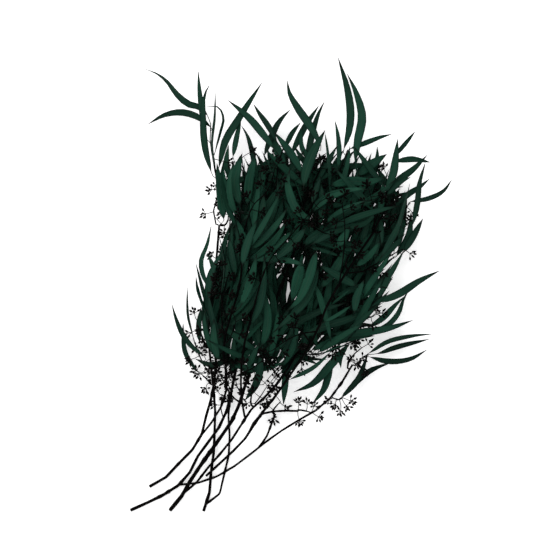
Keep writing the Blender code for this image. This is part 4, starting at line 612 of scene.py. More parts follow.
# ---- Pieces ----
def branch_paths():
    """Every fork as (name, path, start radius, end radius); it starts on the line of its parent."""
    found = []
    for name, forks in BRANCHES.items():
        parents = []
        for start, end, route in forks:
            points = np.array(route, float)
            if parents:
                feet = [resampled(path, np.linspace(0, 1, 400)) for path in parents]
                near = [nearest(foot, points[0]) for foot in feet]
                best = min(range(len(near)), key=lambda k: near[k][1])
                points[0] = feet[best][near[best][0]]
            count = max(6, int(length_of(smooth(points, 40)) / BRANCH_STEP))
            parents.append(smooth(points, count))
            found.append((name, parents[-1], start / 2, end / 2))
    return found


def twig_path(route, branches):
    """A side twig: it leaves the nearest branch square to it, past a small gap, then follows its route."""
    first = np.array(route[0], float)
    best = None
    for _, path, start, end in branches:
        fine = resampled(path, np.linspace(0, 1, 200))
        i, gap = nearest(fine, first)
        if best is None or gap < best[0]:
            along = fine[min(i + 1, 199)] - fine[max(i - 1, 0)]
            best = (gap, fine[i], along / np.linalg.norm(along), start + (end - start) * i / 199)
    _, foot, along, radius = best
    rest = [np.array(p, float) for p in route[1:]]
    out = rest[0] - foot
    out -= along * (out @ along)
    out /= np.linalg.norm(out)
    start = foot + out * (radius + GAP)
    return np.array([start, start + out * 0.35] + rest)


def leaf_route(twig, base, rest_route, width, roll, twist, reach=1.0):
    """A leaf whose petiole leaves its twig behind the base of the blade."""
    heading = rest_route[0] - base
    heading /= np.linalg.norm(heading)
    i, _ = nearest(twig, base - heading * PETIOLE_LENGTH * reach)
    root = twig[i]
    stalk = np.linalg.norm(base - root)
    points = [root]
    if stalk > SHORT_STALK:
        points.append(base - heading * min(0.45 * stalk, 1.0))
    else:
        base = base + heading * SHORT_STALK
    curve = smooth(np.vstack([points, [base], rest_route]), 24)
    blade = length_of(smooth(np.vstack([[base], rest_route]), 12))
    total = length_of(curve)
    return {"curve": curve, "stalk": min(max(1 - blade / total, 0.06), 0.6), "width": width,
            "roll": roll, "twist": twist}


def drawn_leaf(twig, leaf, lift, roll, twist, reach):
    """A leaf from the plan: its height goes evenly from base to tip, with a slight arch."""
    width, low, high, route = leaf[:4]
    route = np.array(route, float)
    along = np.concatenate([[0], np.cumsum(np.linalg.norm(np.diff(route, axis=0), axis=1))])
    share = along / along[-1]
    height = low + (high - low) * share + ARCH * along[-1] * share * (1 - share) + lift
    points = np.column_stack([route, np.maximum(height, LOWEST)])
    return leaf_route(twig, points[0], points[1:], BREADTH * width, roll, twist, reach)


def grown_leaf(twig, share, side, rng):
    """A leaf by the rule of growth: it leaves the twig at a slant and bends as it goes."""
    i = int(share * (len(twig) - 1))
    root = twig[i]
    along = twig[min(i + 1, len(twig) - 1)] - twig[max(i - 1, 0)]
    heading = math.atan2(along[1], along[0]) + side * math.radians(rng.uniform(*GROWN_SLANT))
    bend = -side * math.radians(rng.uniform(*GROWN_BEND))
    length = rng.uniform(*GROWN_LENGTH)
    rise = rng.uniform(*GROWN_RISE)
    width = rng.uniform(*GROWN_WIDTH)
    roll = rng.uniform(-GROWN_ROLL, GROWN_ROLL)
    twist = rng.uniform(-GROWN_TWIST, GROWN_TWIST)
    steps = np.linspace(0, 1, 7)[1:]
    angle = heading + bend * steps
    run = length / len(steps) * np.stack([np.cos(angle), np.sin(angle), rise - GROWN_DROOP * steps], axis=1)
    route = root + np.cumsum(run, axis=0)
    route[:, 2] = np.maximum(route[:, 2], GROWN_LOWEST)
    return route, leaf_route(twig, root + 0.6 * (route[0] - root), route, width, roll, twist)


def clear_twig(name, route, branches, placed):
    """The side twig's path, raised or lowered until it lies clear of the rest."""
    for lift, _, _ in candidates(TWIG_LIFTS):
        rough = twig_path([route[0]] + [(x, y, z + lift) for x, y, z in route[1:]], branches)
        path = smooth(rough, max(4, int(length_of(smooth(rough, 20)) / TWIG_STEP)))
        path = np.vstack([rough[:2], path[path_after(path, rough[1]):]])
        if not placed.hits(tube(path[1:], *TWIG_CLEAR_RADII, TWIG_SIDES), name):
            break
    return path


def grow_bunch():
    """Where every piece lies. Each is tested as it is placed, so that no spray cuts another."""
    placed = Placed()
    bunch = {"branches": branch_paths(), "twigs": {}, "leaves": {name: [] for name in SPRAYS},
             "umbels": {name: [] for name in [*SPRAYS, *BUD_SPRAYS]}}
    for name, path, start, end in bunch["branches"]:
        placed.add(tube(path, start + CLEARANCE, end + CLEARANCE, BRANCH_SIDES), name)
    for name, (route, _) in [*SPRAYS.items(), *BUD_SPRAYS.items()]:
        path = clear_twig(name, route, bunch["branches"], placed)
        thick = tube(path, TWIG_RADII[0] + CLEARANCE, TWIG_RADII[1] + CLEARANCE, TWIG_SIDES)
        placed.add(thick, name + ".twig")
        bunch["twigs"][name] = path

    def place_leaf(name, leaf):
        if placed.hits(leaf_shape(leaf, CLEARANCE), name):
            return False
        placed.add(leaf_shape(leaf, CLEARANCE), name)
        bunch["leaves"][name].append(leaf)
        return True

    rng = random.Random(GROWN_SEED)
    fine = {name: resampled(bunch["twigs"][name], np.linspace(0.1, 0.99, 40)) for name in bunch["twigs"]}
    for name, (_, leaves) in SPRAYS.items():
        for leaf in leaves:
            roll = rng.uniform(-LEAF_ROLL, LEAF_ROLL)
            twist = leaf[4] if len(leaf) > 4 else rng.uniform(-LEAF_TWIST, LEAF_TWIST)
            for lift, turn, reach in candidates(LEAF_LIFTS, LEAF_TURNS, LEAF_REACHES):
                if place_leaf(name, drawn_leaf(fine[name], leaf, lift, roll + turn, twist, reach)):
                    break
    for name, (_, centres) in BUD_SPRAYS.items():
        for centre in centres:
            for lift, _, _ in candidates(UMBEL_LIFTS):
                spot = np.array(centre, float) + (0, 0, lift)
                shapes = umbel_shapes(fine[name], spot)
                if spot[2] >= UMBEL_LOWEST and not any(placed.hits(s, name, own_too=False) for s in shapes):
                    bunch["umbels"][name].append((fine[name], spot))
                    for shape in shapes:
                        placed.add(shape, name)
                    break
    for name, (_, leaves) in SPRAYS.items():
        count = GROWN_PER_SPRAY if leaves else GROWN_PER_INNER_SPRAY
        for k in range(count):
            for _ in range(GROWN_TRIES):
                route, leaf = grown_leaf(fine[name], (k + 0.6) / count, 1 if k % 2 else -1, rng)
                if inside(route, CROWN).all() and place_leaf(name, leaf):
                    break
    return bunch, placed


def path_after(path, point):
    """The first point of the path that is clearly past the given one."""
    i, _ = nearest(path, point)
    return i + 1


def umbel_shapes(twig, centre):
    """A short bare stalk from the twig to the middle of the umbel, and the buds around it."""
    i, _ = nearest(twig, centre)
    root = twig[i]
    axis = centre - root
    axis /= np.linalg.norm(axis)
    path = np.array([root, (root + centre) / 2, centre + 0.03 * axis])
    stalk = tube(path, STALK_RADIUS * 1.2, STALK_RADIUS, 3)
    return [stalk, umbel_shape(centre, axis)]


# ---- What only the finished bunch has: bud twigs over the leaves, and more leaves and umbels inside ----
# Bud twigs over the leaves and at the neck: a route of (x, y, height) and the umbels' (x, y, height).
TOP_BUDS = [
    ([(-6, -5, 9.2), (-4.8, -0.5, 10.7), (-3.6, 3, 11.2), (-0.2, 7.2, 11.5), (3.6, 11.6, 11.2)],
     [(-5.4, 1.0, 11.2), (-2.8, 4.9, 11.4), (-1.9, 3.6, 11.5), (0.3, 6.2, 11.6), (-0.2, 9.0, 11.5),
      (2.4, 9.1, 11.6), (1.2, 10.6, 11.3), (4.6, 11.0, 11.4), (5.0, 12.7, 11.2), (3.2, 13.0, 11.0)]),
    ([(7, 0.2, 10.6), (7.6, 4.5, 11.5), (7.8, 8.6, 11.2), (7.4, 12, 10.8)],
     [(8.7, 5.6, 11.4), (6.6, 6.4, 11.6), (9.1, 8.2, 11.2), (6.7, 9.2, 11.4), (8.6, 11.4, 11.0),
      (6.2, 12.2, 10.8), (7.8, 13.3, 10.6)]),
    ([(3.7, -6.8, 10.5), (1.2, -7.2, 11.2), (-1.2, -8.4, 10.8), (-2.8, -9.6, 10.2)],
     [(-2.6, -8.3, 10.6), (-1.2, -9.9, 10.4), (0.2, -6.2, 11.4), (-3.9, -10.2, 10.0), (1.4, -8.5, 11.0)]),
    ([(-9.3, -5.5, 8.2), (-10.2, -3, 9.2), (-10.4, -0.5, 9.6), (-10.2, 1.6, 9.6)],
     [(-9.2, -1.4, 9.8), (-11.3, -1.2, 9.4), (-11.1, 0.8, 9.4), (-9.2, 1.2, 9.8), (-10.3, 2.8, 9.4)]),
    ([(-10.1, -9, 7.4), (-9, -7.6, 9.4), (-8.2, -5.4, 10.2)],
     [(-7.2, -5.0, 10.2), (-9.9, -7.0, 9.6), (-7.6, -7.2, 10.0), (-8.6, -4.2, 10.2)]),
    ([(-7.2, 7, 6.8), (-6.6, 9.4, 9.4), (-5.6, 11.8, 10.2), (-3.6, 13.8, 10.2), (-2.6, 16.6, 9.8)],
     [(-7.6, 10.6, 9.8), (-4.6, 10.8, 10.4), (-6.4, 12.9, 10.0), (-4.4, 14.8, 10.0), (-2.2, 13.6, 10.4),
      (-1.6, 15.6, 10.2), (-3.6, 16.9, 9.8), (-2.0, 17.9, 9.8)]),
    ([(12.3, 8, 7.6), (12.2, 11, 8.8), (11.6, 13.4, 9.2)],
     [(13.2, 10.6, 8.8), (10.8, 12.4, 9.4), (12.8, 13.2, 9.0), (11.2, 14.6, 9.0)]),
    ([(-7.5, -13, 7.8), (-6, -12.4, 9.2), (-4.4, -11.2, 9.8)],
     [(-4.2, -10.2, 9.8), (-3.4, -11.8, 9.6), (-5.4, -13.2, 9.2), (-6.9, -11.6, 9.2)]),
    ([(-9.6, -15, 4.9), (-10.4, -13.9, 5.8), (-10.9, -12.4, 6.4)],
     [(-11.6, -14.2, 5.2), (-9.5, -13.4, 6.2), (-11.9, -12.6, 6.0), (-10.0, -11.6, 6.8),
      (-11.2, -11.2, 6.6)]),
    ([(-7.4, -16.5, 3.2), (-8.2, -15.0, 4.6), (-8.4, -13.0, 5.6)],
     [(-9.0, -15.6, 4.0), (-7.2, -14.8, 4.8), (-9.2, -13.8, 5.2), (-7.5, -12.8, 5.6),
      (-8.6, -11.8, 6.0)]),
    ([(-10.2, -20.3, 2.2), (-10.6, -18.4, 2.8), (-10.4, -16.6, 3.2)],
     [(-11.4, -17.9, 2.6), (-9.6, -17.0, 3.0), (-11.0, -16.0, 3.2)]),
    ([(-5.5, -17.8, 4.1), (-4.6, -16.6, 5.6), (-3.6, -15.0, 6.4)],
     [(-5.6, -16.0, 5.6), (-3.8, -17.0, 5.2), (-4.4, -14.2, 6.6), (-2.6, -15.4, 6.2),
      (-2.6, -13.8, 6.6)]),
]
# More leaves in the middle. The plan is cut into cells, and a leaf is aimed at the cells least covered.
CELL = 0.45
FILL_SEED = 5
FILL_LEAVES = 520
FILL_TRIES = 4600
FILL_CHOICES = 10  # twigs tried for one target
FILL_COVER = (0, 0, 1, 2)  # a target is drawn from cells with no more blades over them than one of these
FILL_LENGTH = (8.0, 12.0)
FILL_PAST = 1.5  # how far a leaf at least goes on past its target
FILL_BEND = (-20, 65)  # degrees
FILL_JOINTS = 6
FILL_WIDTH = (0.85, 1.4)
FILL_ROLL = 0.6
FILL_TWIST = 0.5
FILL_CORE = 0.5  # the share of a blade's width that must be clear of the rest
FILL_SLIM = -0.03  # and how much thinner than the blade that core is
FILL_RISE = (-4.5, 4.0)
FILL_HIGHEST = 10.8
FILL_SLANT = math.radians(85)
FILL_NEAREST, FILL_FARTHEST = 1.0, 8.0
BLADE_SHADE = 0.42  # the share of a blade's width, to either side of its midrib, that counts as cover
FAN_CENTRE = (-7, -21)
FAN_SPREAD = math.radians(38)
TWIG_POINTS = 40
TWIG_SPAN = (0.1, 0.99)
ROOT_STEP = 3
# More umbels, first on the leafy sprays and then where leaves leave gaps.
EXTRA_UMBELS = 5
UMBEL_TRIES = 8
UMBEL_REACH = (0.9, 1.9)
UMBEL_LEAN = (-0.3, 0.9)
BUD_TRIES = 520
BUD_CHOICES = 3
BUD_NEAREST, BUD_FARTHEST = 0.4, 2.6
BUD_RISE = (-0.8, 2.0)
BUD_HIGHEST = 11.3
BUD_SPREAD = 0.6
BUD_JITTER = 0.3
BUD_POINTS = 24
BUD_SPAN = (0.15, 1)
NECK_SHARE = 3  # one umbel in this many is for the neck
# Narrow gaps that the cells are too coarse to find: (x, y). Each counts as several bare cells.
NARROW_GAPS = [
    (-0.6, -0.9), (-0.6, 0.0), (-1.6, 1.2), (-0.9, 2.2), (8.9, -4.6), (10.2, -3.2), (-5.6, -8.3)]
NARROW_WEIGHT = 4
# The outline of the neck, where bare bud twigs crowd: (x, y) going round it.
NECK = [(-11.6, -10.4), (-4, -9.6), (-1.4, -13.2), (-4.2, -17.4), (-9.2, -17.8), (-12, -14.6)]


def shaded(cells, leaf):
    """Which cells of the plan the blade covers."""
    blade = leaf["curve"][int(leaf["stalk"] * len(leaf["curve"])):, :2]
    gap = np.linalg.norm(cells[:, None] - blade[None], axis=2).min(1)
    return gap < BLADE_SHADE * leaf["width"]


def leaf_to(target, root, slant, rng):
    """A leaf that leaves the twig at a slant, bends evenly, and passes over or under the target."""
    away = target - root[:2]
    far = np.linalg.norm(away)
    length = max(rng.uniform(*FILL_LENGTH), far + FILL_PAST)
    bend = -math.copysign(math.radians(rng.uniform(*FILL_BEND)), slant)
    steps = np.linspace(0, 1, FILL_JOINTS + 1)[1:]
    angle = math.atan2(away[1], away[0]) - bend * far / length / 2 + bend * (steps - 0.5 / FILL_JOINTS)
    run = length / FILL_JOINTS * np.stack([np.cos(angle), np.sin(angle)], axis=1)
    height = root[2] + rng.uniform(*FILL_RISE) * steps ** rng.uniform(0.6, 1.4)
    height = np.clip(height, GROWN_LOWEST, FILL_HIGHEST)
    return np.column_stack([root[:2] + np.cumsum(run, axis=0), height])


def between(a, b):
    """How far heading a is turned from heading b, each a direction in the plan."""
    turn = np.arctan2(a[..., 1], a[..., 0]) - np.arctan2(b[..., 1], b[..., 0])
    return (turn + math.pi) % (2 * math.pi) - math.pi


def add_umbel(bunch, placed, name, twig, centre):
    """Hangs an umbel on a twig if it lies clear of everything else there; says whether it did."""
    shapes = umbel_shapes(twig, centre)
    if any(placed.hits(shape, name) for shape in shapes):
        return False
    for shape in shapes:
        placed.add(shape, name)
    bunch["umbels"][name].append((twig, centre))
    return True


def fill_in(bunch, placed):
    """Adds what the middle lacks: the top bud twigs as the plan puts them, untested; then umbels, each clear
    of what is there, and leaves whose cores are clear.
    """
    rng = random.Random(FILL_SEED)
    add_top_buds(bunch, placed)
    for name in SPRAYS:
        twig = resampled(bunch["twigs"][name], np.linspace(*TWIG_SPAN, TWIG_POINTS))
        for _ in range(EXTRA_UMBELS):
            for _ in range(UMBEL_TRIES):
                root = twig[rng.randrange(len(twig))]
                turn = rng.uniform(0, 2 * math.pi)
                out = np.array([math.cos(turn), math.sin(turn), rng.uniform(*UMBEL_LEAN)])
                centre = root + out / np.linalg.norm(out) * rng.uniform(*UMBEL_REACH)
                if centre[2] > UMBEL_LOWEST and add_umbel(bunch, placed, name, twig, centre):
                    break
    gaps = fill_leaves(bunch, placed, rng)
    fill_buds(bunch, placed, np.vstack([gaps, NARROW_GAPS * NARROW_WEIGHT]), rng)


def add_top_buds(bunch, placed):
    """The bud twigs that lie over the leaves and at the neck, where the plan puts them."""
    bunch["top"] = []
    for k, (route, centres) in enumerate(TOP_BUDS):
        name = f"top_buds_{k + 1}"
        path = smooth(route, 14)
        placed.add(tube(path, *TWIG_RADII, TWIG_SIDES), name)
        bunch["top"].append((name, path))
        bunch["umbels"][name] = []
        for centre in centres:
            centre = np.array(centre, float)
            for shape in umbel_shapes(path, centre):
                placed.add(shape, name)
            bunch["umbels"][name].append((path, centre))


def fill_leaves(bunch, placed, rng):
    """Leaves for the cells of the crown that few blades cover. Gives back the cells still bare."""
    low, high = np.min(CROWN, axis=0), np.max(CROWN, axis=0)
    across, up = np.meshgrid(np.arange(low[0], high[0], CELL), np.arange(low[1], high[1], CELL))
    cells = np.column_stack([across.ravel(), up.ravel()])
    cells = cells[inside(cells, CROWN)]
    cover = np.zeros(len(cells), int)
    for leaves in bunch["leaves"].values():
        for leaf in leaves:
            cover += shaded(cells, leaf)
    along = np.linspace(*TWIG_SPAN, TWIG_POINTS)
    fine = {name: resampled(bunch["twigs"][name], along) for name in SPRAYS}
    roots = [(name, i) for name in SPRAYS for i in range(0, TWIG_POINTS - 1, ROOT_STEP)]
    spots = np.array([fine[name][i] for name, i in roots])
    courses = np.array([fine[name][i + 1] - fine[name][i] for name, i in roots])
    made = 0
    for turn in range(FILL_TRIES):
        if made == FILL_LEAVES:
            break
        spread = FAN_SPREAD * (1 if turn < FILL_TRIES / 2 else 2)
        least = np.flatnonzero(cover <= rng.choice(FILL_COVER))
        target = cells[least[rng.randrange(len(least))] if len(least) else rng.randrange(len(cells))]
        away = target - spots[:, :2]
        far = np.linalg.norm(away, axis=1)
        slant = between(away, courses)
        stray = between(away, target - FAN_CENTRE)
        reachable = (far > FILL_NEAREST) & (far < FILL_FARTHEST)
        near = np.flatnonzero(reachable & (abs(slant) < FILL_SLANT) & (abs(stray) < spread))
        for _ in range(FILL_CHOICES if len(near) else 0):
            k = near[rng.randrange(len(near))]
            route = leaf_to(target, spots[k], slant[k], rng)
            width = rng.uniform(*FILL_WIDTH)
            roll, twist = rng.uniform(-FILL_ROLL, FILL_ROLL), rng.uniform(-FILL_TWIST, FILL_TWIST)
            if inside(route, CROWN).sum() < len(route):
                continue
            name = roots[k][0]
            base = spots[k] + 0.5 * (route[0] - spots[k])
            leaf = leaf_route(fine[name], base, route, width, roll, twist)
            core = leaf_shape({**leaf, "width": FILL_CORE * width}, FILL_SLIM)
            if not placed.hits(core, name):
                placed.add(core, name)
                bunch["leaves"][name].append(leaf)
                cover += shaded(cells, leaf)
                made += 1
                break
    return cells[cover == 0]


def fill_buds(bunch, placed, gaps, rng):
    """Umbels where the leaves leave gaps and round the neck, each on a twig near by."""
    paths = {**bunch["twigs"], **dict(bunch["top"])}
    roots = [(name, point) for name, path in paths.items()
             for point in resampled(path, np.linspace(*BUD_SPAN, BUD_POINTS))]
    spots = np.array([point for _, point in roots])
    low, high = np.min(NECK, axis=0), np.max(NECK, axis=0)
    for turn in range(BUD_TRIES):
        if turn % NECK_SHARE == 0 or not len(gaps):
            target = np.array([rng.uniform(low[i], high[i]) for i in range(2)])
            if not inside(target[None], NECK)[0]:
                continue
        else:
            gap = gaps[rng.randrange(len(gaps))]
            target = gap + [rng.uniform(-BUD_JITTER, BUD_JITTER), rng.uniform(-BUD_JITTER, BUD_JITTER)]
        far = np.linalg.norm(spots[:, :2] - target, axis=1)
        near = np.flatnonzero((far > BUD_NEAREST) & (far < BUD_FARTHEST))
        for _ in range(BUD_CHOICES if len(near) else 0):
            name, root = roots[near[rng.randrange(len(near))]]
            height = min(max(root[2] + rng.uniform(*BUD_RISE), UMBEL_LOWEST), BUD_HIGHEST)
            if add_umbel(bunch, placed, name, paths[name], np.array([*target, height])):
                gaps = gaps[np.linalg.norm(gaps - target, axis=1) > BUD_SPREAD]
                break


# ---- Fine surfaces: every skin is rings of points carried along a path ----
# Round the section of a leaf: from edge to edge over the top, and back below.
LEAF_ACROSS = np.array([-1, -0.55, 0, 0.55, 1, 0.55, 0, -0.55])
LEAF_UNDER = np.array([0, 0, 0, 0, 0, 1, 1.6, 1])
PETIOLE_ROUND = np.array([0, 0.7, 1, 0.7, 0, -0.7, -1, -0.7])
PETIOLE_RISE = 0.38  # half the petiole's depth as a share of its plain width
PETIOLE_SLIM = 0.85
LEAF_STATIONS = 15
PETIOLE_STATIONS = 3
LEAF_SKIN = 0.022
LEAF_LEAST = 0.05
LEAF_POINT = 0.03
LEAF_ENDS = (0.04, 0.985)  # the blade's width is read between these, so that neither end closes
LEAF_FOLD = (0.10, 0.32)
RIPPLE_HEIGHT = (0.01, 0.045)
RIPPLE_TURNS = (9, 20)
RIPPLE_WIDTH = 0.3  # a blade narrower than this has no ripple
PAINTED_LIGHT_HEIGHT = 11.0  # leaves near this height are painted paler: painted light on the top of the bunch
# the share of a leaf's tone that is painted light, growing with the leaf's height
PAINTED_LIGHT_SHARE = 0.35
BARK_STEP = 0.4
BARK_SWELL = 1.08  # bark stands a little outside the plain rod
BARK_RINGS = 8  # the fewest on one rod
BARK_SIDES = 10
BARK_WAVER = 0.05
BARK_WAVE = 1.7
KNOT_SWELL = (0.15, 0.45)
KNOT_LENGTH = 0.28
TWIG_FINE_SIDES = 7
LEAST_WOOD = 0.15
BARE_TWIG_RADII = (0.15, 0.08)
TOP_TWIG_RADII = (0.1, 0.06)
BRANCH_KNOTS = 4.5  # centimetres of wood for each swollen joint
TWIG_KNOTS = 2.2
BUD_SIDES = 6
BUD_COUNT = (6, 9)
BUD_SIZE = (0.8, 1.12)
BUD_LEAN = (0.2, 1.25)  # radians from the umbel's axis, for the innermost bud and more for the outermost
BUD_TURN = 2.4  # radians round the axis from one bud to the next
BUD_DROOP = 0.05
BUD_REACH = np.array([0, 0.30, 0.56, 0.64, 0.76, 0.89, 1.03, 1.15])
BUD_PROFILE = np.array([0.050, 0.044, 0.054, 0.125, 0.178, 0.150, 0.070, 0.012])
UMBEL_STALK = (0.06, 0.05)
UMBEL_RINGS = 7
UMBEL_BOW = 0.12
SOFT_FLOOR = 0.05  # below this height a surface flattens towards the floor without passing it
LOOK_SEED = 29


def skin(rings):
    """Points and faces of skins, given as (piece, station, around, xyz).

    Quads join each ring to the next, and one face closes each end.
    """
    pieces, stations, around, _ = rings.shape
    i = np.arange(stations - 1)[:, None]
    j = np.arange(around)[None, :]
    k = (j + 1) % around
    sides = np.stack([i * around + k, i * around + j, (i + 1) * around + j, (i + 1) * around + k], -1)
    start = np.arange(around)
    ends = np.stack([start, (start + (stations - 1) * around)[::-1]])
    offset = (np.arange(pieces) * stations * around)[:, None, None]
    quads = (sides.reshape(1, -1, 4) + offset).reshape(-1, 4)
    caps = (ends[None] + offset).reshape(-1, around)
    return rings.reshape(-1, 3), quads, caps


def finished(name, rings, marks, finish, slot, *nodes):
    """A smooth-shaded mesh of a list of skins, with a vector attribute that its finish reads.

    Near the floor a height z becomes s * exp(z / s - 1), with s the soft floor, which never reaches zero.
    """
    points, faces, notes, base = [], [], [], 0
    for batch, mark in zip(rings, marks):
        where, quads, caps = skin(batch)
        points.append(where)
        notes.append(mark.reshape(-1, 3))
        faces += (quads + base).tolist() + (caps + base).tolist()
        base += len(where)
    points = np.concatenate(points)
    low = points[:, 2] < SOFT_FLOOR
    points[low, 2] = SOFT_FLOOR * np.exp(points[low, 2] / SOFT_FLOOR - 1)
    mesh = bpy.data.meshes.new(name)
    mesh.from_pydata(points * CM, [], faces)
    attribute = mesh.attributes.new("grain", "FLOAT_VECTOR", "POINT")
    attribute.data.foreach_set("vector", np.concatenate(notes).astype(np.float32).ravel())
    mesh.shade_smooth()
    mesh.materials.append(finish)
    piece = bpy.data.objects.new(name, mesh)
    bpy.context.scene.collection.objects.link(piece)
    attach(piece, "root")
    if nodes:
        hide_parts(*nodes)
    return piece


def round_skin(path, radius, sides):
    """Rings of a round rod: each point is the path's, plus the radius along a turning side and normal."""
    _, side, normal = frames(path)
    turn = np.linspace(0, 2 * math.pi, sides, endpoint=False)[None, :, None]
    ring = np.cos(turn) * side[:, None] + np.sin(turn) * normal[:, None]
    rings = path[:, None] + np.asarray(radius)[:, None, None] * ring
    length = np.concatenate([[0], np.cumsum(np.linalg.norm(np.diff(path, axis=0), axis=1))])
    mark = np.stack(np.broadcast_arrays(np.cos(turn[..., 0]), np.sin(turn[..., 0]), length[:, None]), -1)
    return rings[None], mark[None]


def bark_skin(path, start, end, sides, rng, knots):
    """A woody rod. Its radius falls evenly from start to end, waves a little as a sine of the length, and
    swells at each knot by a bell curve."""
    length = length_of(path)
    share = np.linspace(0, 1, max(BARK_RINGS, int(length / BARK_STEP)))
    radius = BARK_SWELL * (start + (end - start) * share)
    for _ in range(knots):
        at = rng.uniform(0.03, 0.97)
        bell = np.exp(-(((share - at) * length / KNOT_LENGTH) ** 2))
        radius = radius * (1 + rng.uniform(*KNOT_SWELL) * bell)
    radius = radius * (1 + BARK_WAVER * np.sin(share * length * BARK_WAVE + rng.uniform(0, 6)))
    return round_skin(resampled(path, share), radius, sides)


def leaf_skins(leaves, rng):
    """A batch of leaves. Across the blade the surface is a shallow V with a keel below; along it the
    width follows blade_width, the edge ripples, and the petiole is a thin rod of the same rings."""
    stations = np.linspace(0, 1, LEAF_STATIONS - PETIOLE_STATIONS) ** 1.05
    edge = np.abs(LEAF_ACROSS)[None]
    rings, marks = [], []
    for leaf in leaves:
        stalk = leaf["stalk"]
        along = np.concatenate([[0, 0.5 * stalk, 0.93 * stalk], stalk + (1 - stalk) * stations])
        path = resampled(leaf["curve"], along)
        _, flat, upright = frames(path, leaf["roll"], 0.0)
        angle = (leaf["twist"] * along)[:, None]
        side = flat * np.cos(angle) + upright * np.sin(angle)
        normal = upright * np.cos(angle) - flat * np.sin(angle)
        u = np.clip((along - stalk) / (1 - stalk), 0, 1)
        width = np.maximum(leaf["width"] * blade_width(np.clip(u, *LEAF_ENDS)), LEAF_LEAST)
        width[:PETIOLE_STATIONS] = PETIOLE_WIDTH * PETIOLE_SLIM
        width[PETIOLE_STATIONS] = PETIOLE_WIDTH
        width[-1] = LEAF_POINT
        blade = (u > 0)[:, None]
        half = width[:, None] / 2
        fold = rng.uniform(*LEAF_FOLD)
        ripple = rng.uniform(*RIPPLE_HEIGHT) * np.sin(u * rng.uniform(*RIPPLE_TURNS) + rng.uniform(0, 6))
        sway = ripple[:, None] * np.sign(LEAF_ACROSS)[None] * edge**2
        top = blade * (fold * half * edge**1.4 + sway * (width[:, None] > RIPPLE_WIDTH))
        thick = np.where(blade, LEAF_SKIN, 0.0) * LEAF_UNDER[None]
        stem = np.where(blade, 0.0, 1.0) * PETIOLE_WIDTH * PETIOLE_RISE * PETIOLE_ROUND[None]
        across = (LEAF_ACROSS[None] * half)[..., None]
        rise = (top - thick + stem)[..., None]
        rings.append(path[:, None] + across * side[:, None] + rise * normal[:, None])
        # The tone is a random share per leaf plus a share that grows with the leaf's height, which is
        # painted light on the upper leaves.
        tone = (1 - PAINTED_LIGHT_SHARE) * rng.uniform(0, 1) + PAINTED_LIGHT_SHARE * min(path[:, 2].max() / PAINTED_LIGHT_HEIGHT, 1)
        place = np.where(u > 0, u, along - stalk)[:, None]
        marks.append(np.stack(np.broadcast_arrays(LEAF_ACROSS[None], place, tone), -1))
    return np.stack(rings), np.stack(marks)


def umbel_skins(twig, centre, rng):
    """A bare stalk from the twig to the umbel, and its buds, turned about it like a fan of spokes.

    Bud k points along the axis leaned by an angle that grows with k and turned k times by BUD_TURN. Its
    surface is BUD_PROFILE carried along BUD_REACH, and it droops with the square of the reach.
    """
    i, _ = nearest(twig, centre)
    root = twig[i]
    axis = (centre - root) / np.linalg.norm(centre - root)
    bow = np.array([rng.uniform(-UMBEL_BOW, UMBEL_BOW), rng.uniform(-UMBEL_BOW, UMBEL_BOW), 0.1])
    stalk = smooth([root, (root + centre) / 2 + bow, centre], UMBEL_RINGS)
    rod, rod_mark = round_skin(stalk, np.linspace(*UMBEL_STALK, UMBEL_RINGS), BUD_SIDES)
    rod_mark[..., 2] = -1
    helper = np.array([0.3, 0.2, 0.93])
    across = np.cross(axis, helper)
    across /= np.linalg.norm(across)
    third = np.cross(axis, across)
    count = rng.randint(*BUD_COUNT)
    k = np.arange(count)
    turn = BUD_TURN * k + rng.uniform(0, 6)
    lean = BUD_LEAN[0] + BUD_LEAN[1] * (k + 0.5) / count
    outward = np.cos(turn)[:, None] * across + np.sin(turn)[:, None] * third
    way = np.cos(lean)[:, None] * axis + np.sin(lean)[:, None] * outward
    size = np.array([rng.uniform(*BUD_SIZE) for _ in range(count)])
    reach = (BUD_REACH[None] * size[:, None])[..., None]
    path = centre + reach * way[:, None] - np.array([0, 0, BUD_DROOP]) * reach**2
    flat = np.cross(way, helper)
    flat /= np.linalg.norm(flat, axis=1)[:, None]
    upright = np.cross(flat, way)
    spin = np.linspace(0, 2 * math.pi, BUD_SIDES, endpoint=False)[None, None, :, None]
    ring = np.cos(spin) * flat[:, None, None] + np.sin(spin) * upright[:, None, None]
    radius = (BUD_PROFILE[None] * size[:, None] ** 0.7)[..., None, None]
    rings = path[:, :, None] + radius * ring
    share = np.broadcast_to(BUD_REACH[None, :, None], (count, len(BUD_REACH), BUD_SIDES))
    tones = np.array([rng.uniform(0, 1) for _ in range(count)])
    tone = np.broadcast_to(tones[:, None, None], share.shape)
    mark = np.stack([tone, np.broadcast_to(np.cos(spin[..., 0]), share.shape), share], -1)
    return (rod, rod_mark), (rings, mark)


# ---- Finishes: colours are linear red, green and blue ----
LEAF_DEEP = (0.0008, 0.0072, 0.0038)
# The pale end of the leaf tone: a paler bloom on some leaves at random, and painted light on leaves high in
# the bunch.
LEAF_BLOOM_AND_PAINTED_LIGHT = (0.0082, 0.0465, 0.0275)
LEAF_CLOUD = (0.0030, 0.0160, 0.0120)
LEAF_VEIN = (0.026, 0.060, 0.042)
LEAF_MIDRIB = (0.020, 0.044, 0.028)
LEAF_MARGIN = (0.0035, 0.0095, 0.006)
LEAF_BURNT = (0.0022, 0.0030, 0.0022)
# The painted shade colour for leaves low in the bunch.
LEAF_PAINTED_SHADE = (0.0006, 0.0020, 0.0012)
PAINTED_SHADE_HEIGHTS = (0.0, 0.07)  # metres: leaves low in the bunch are painted darker, as painted shade
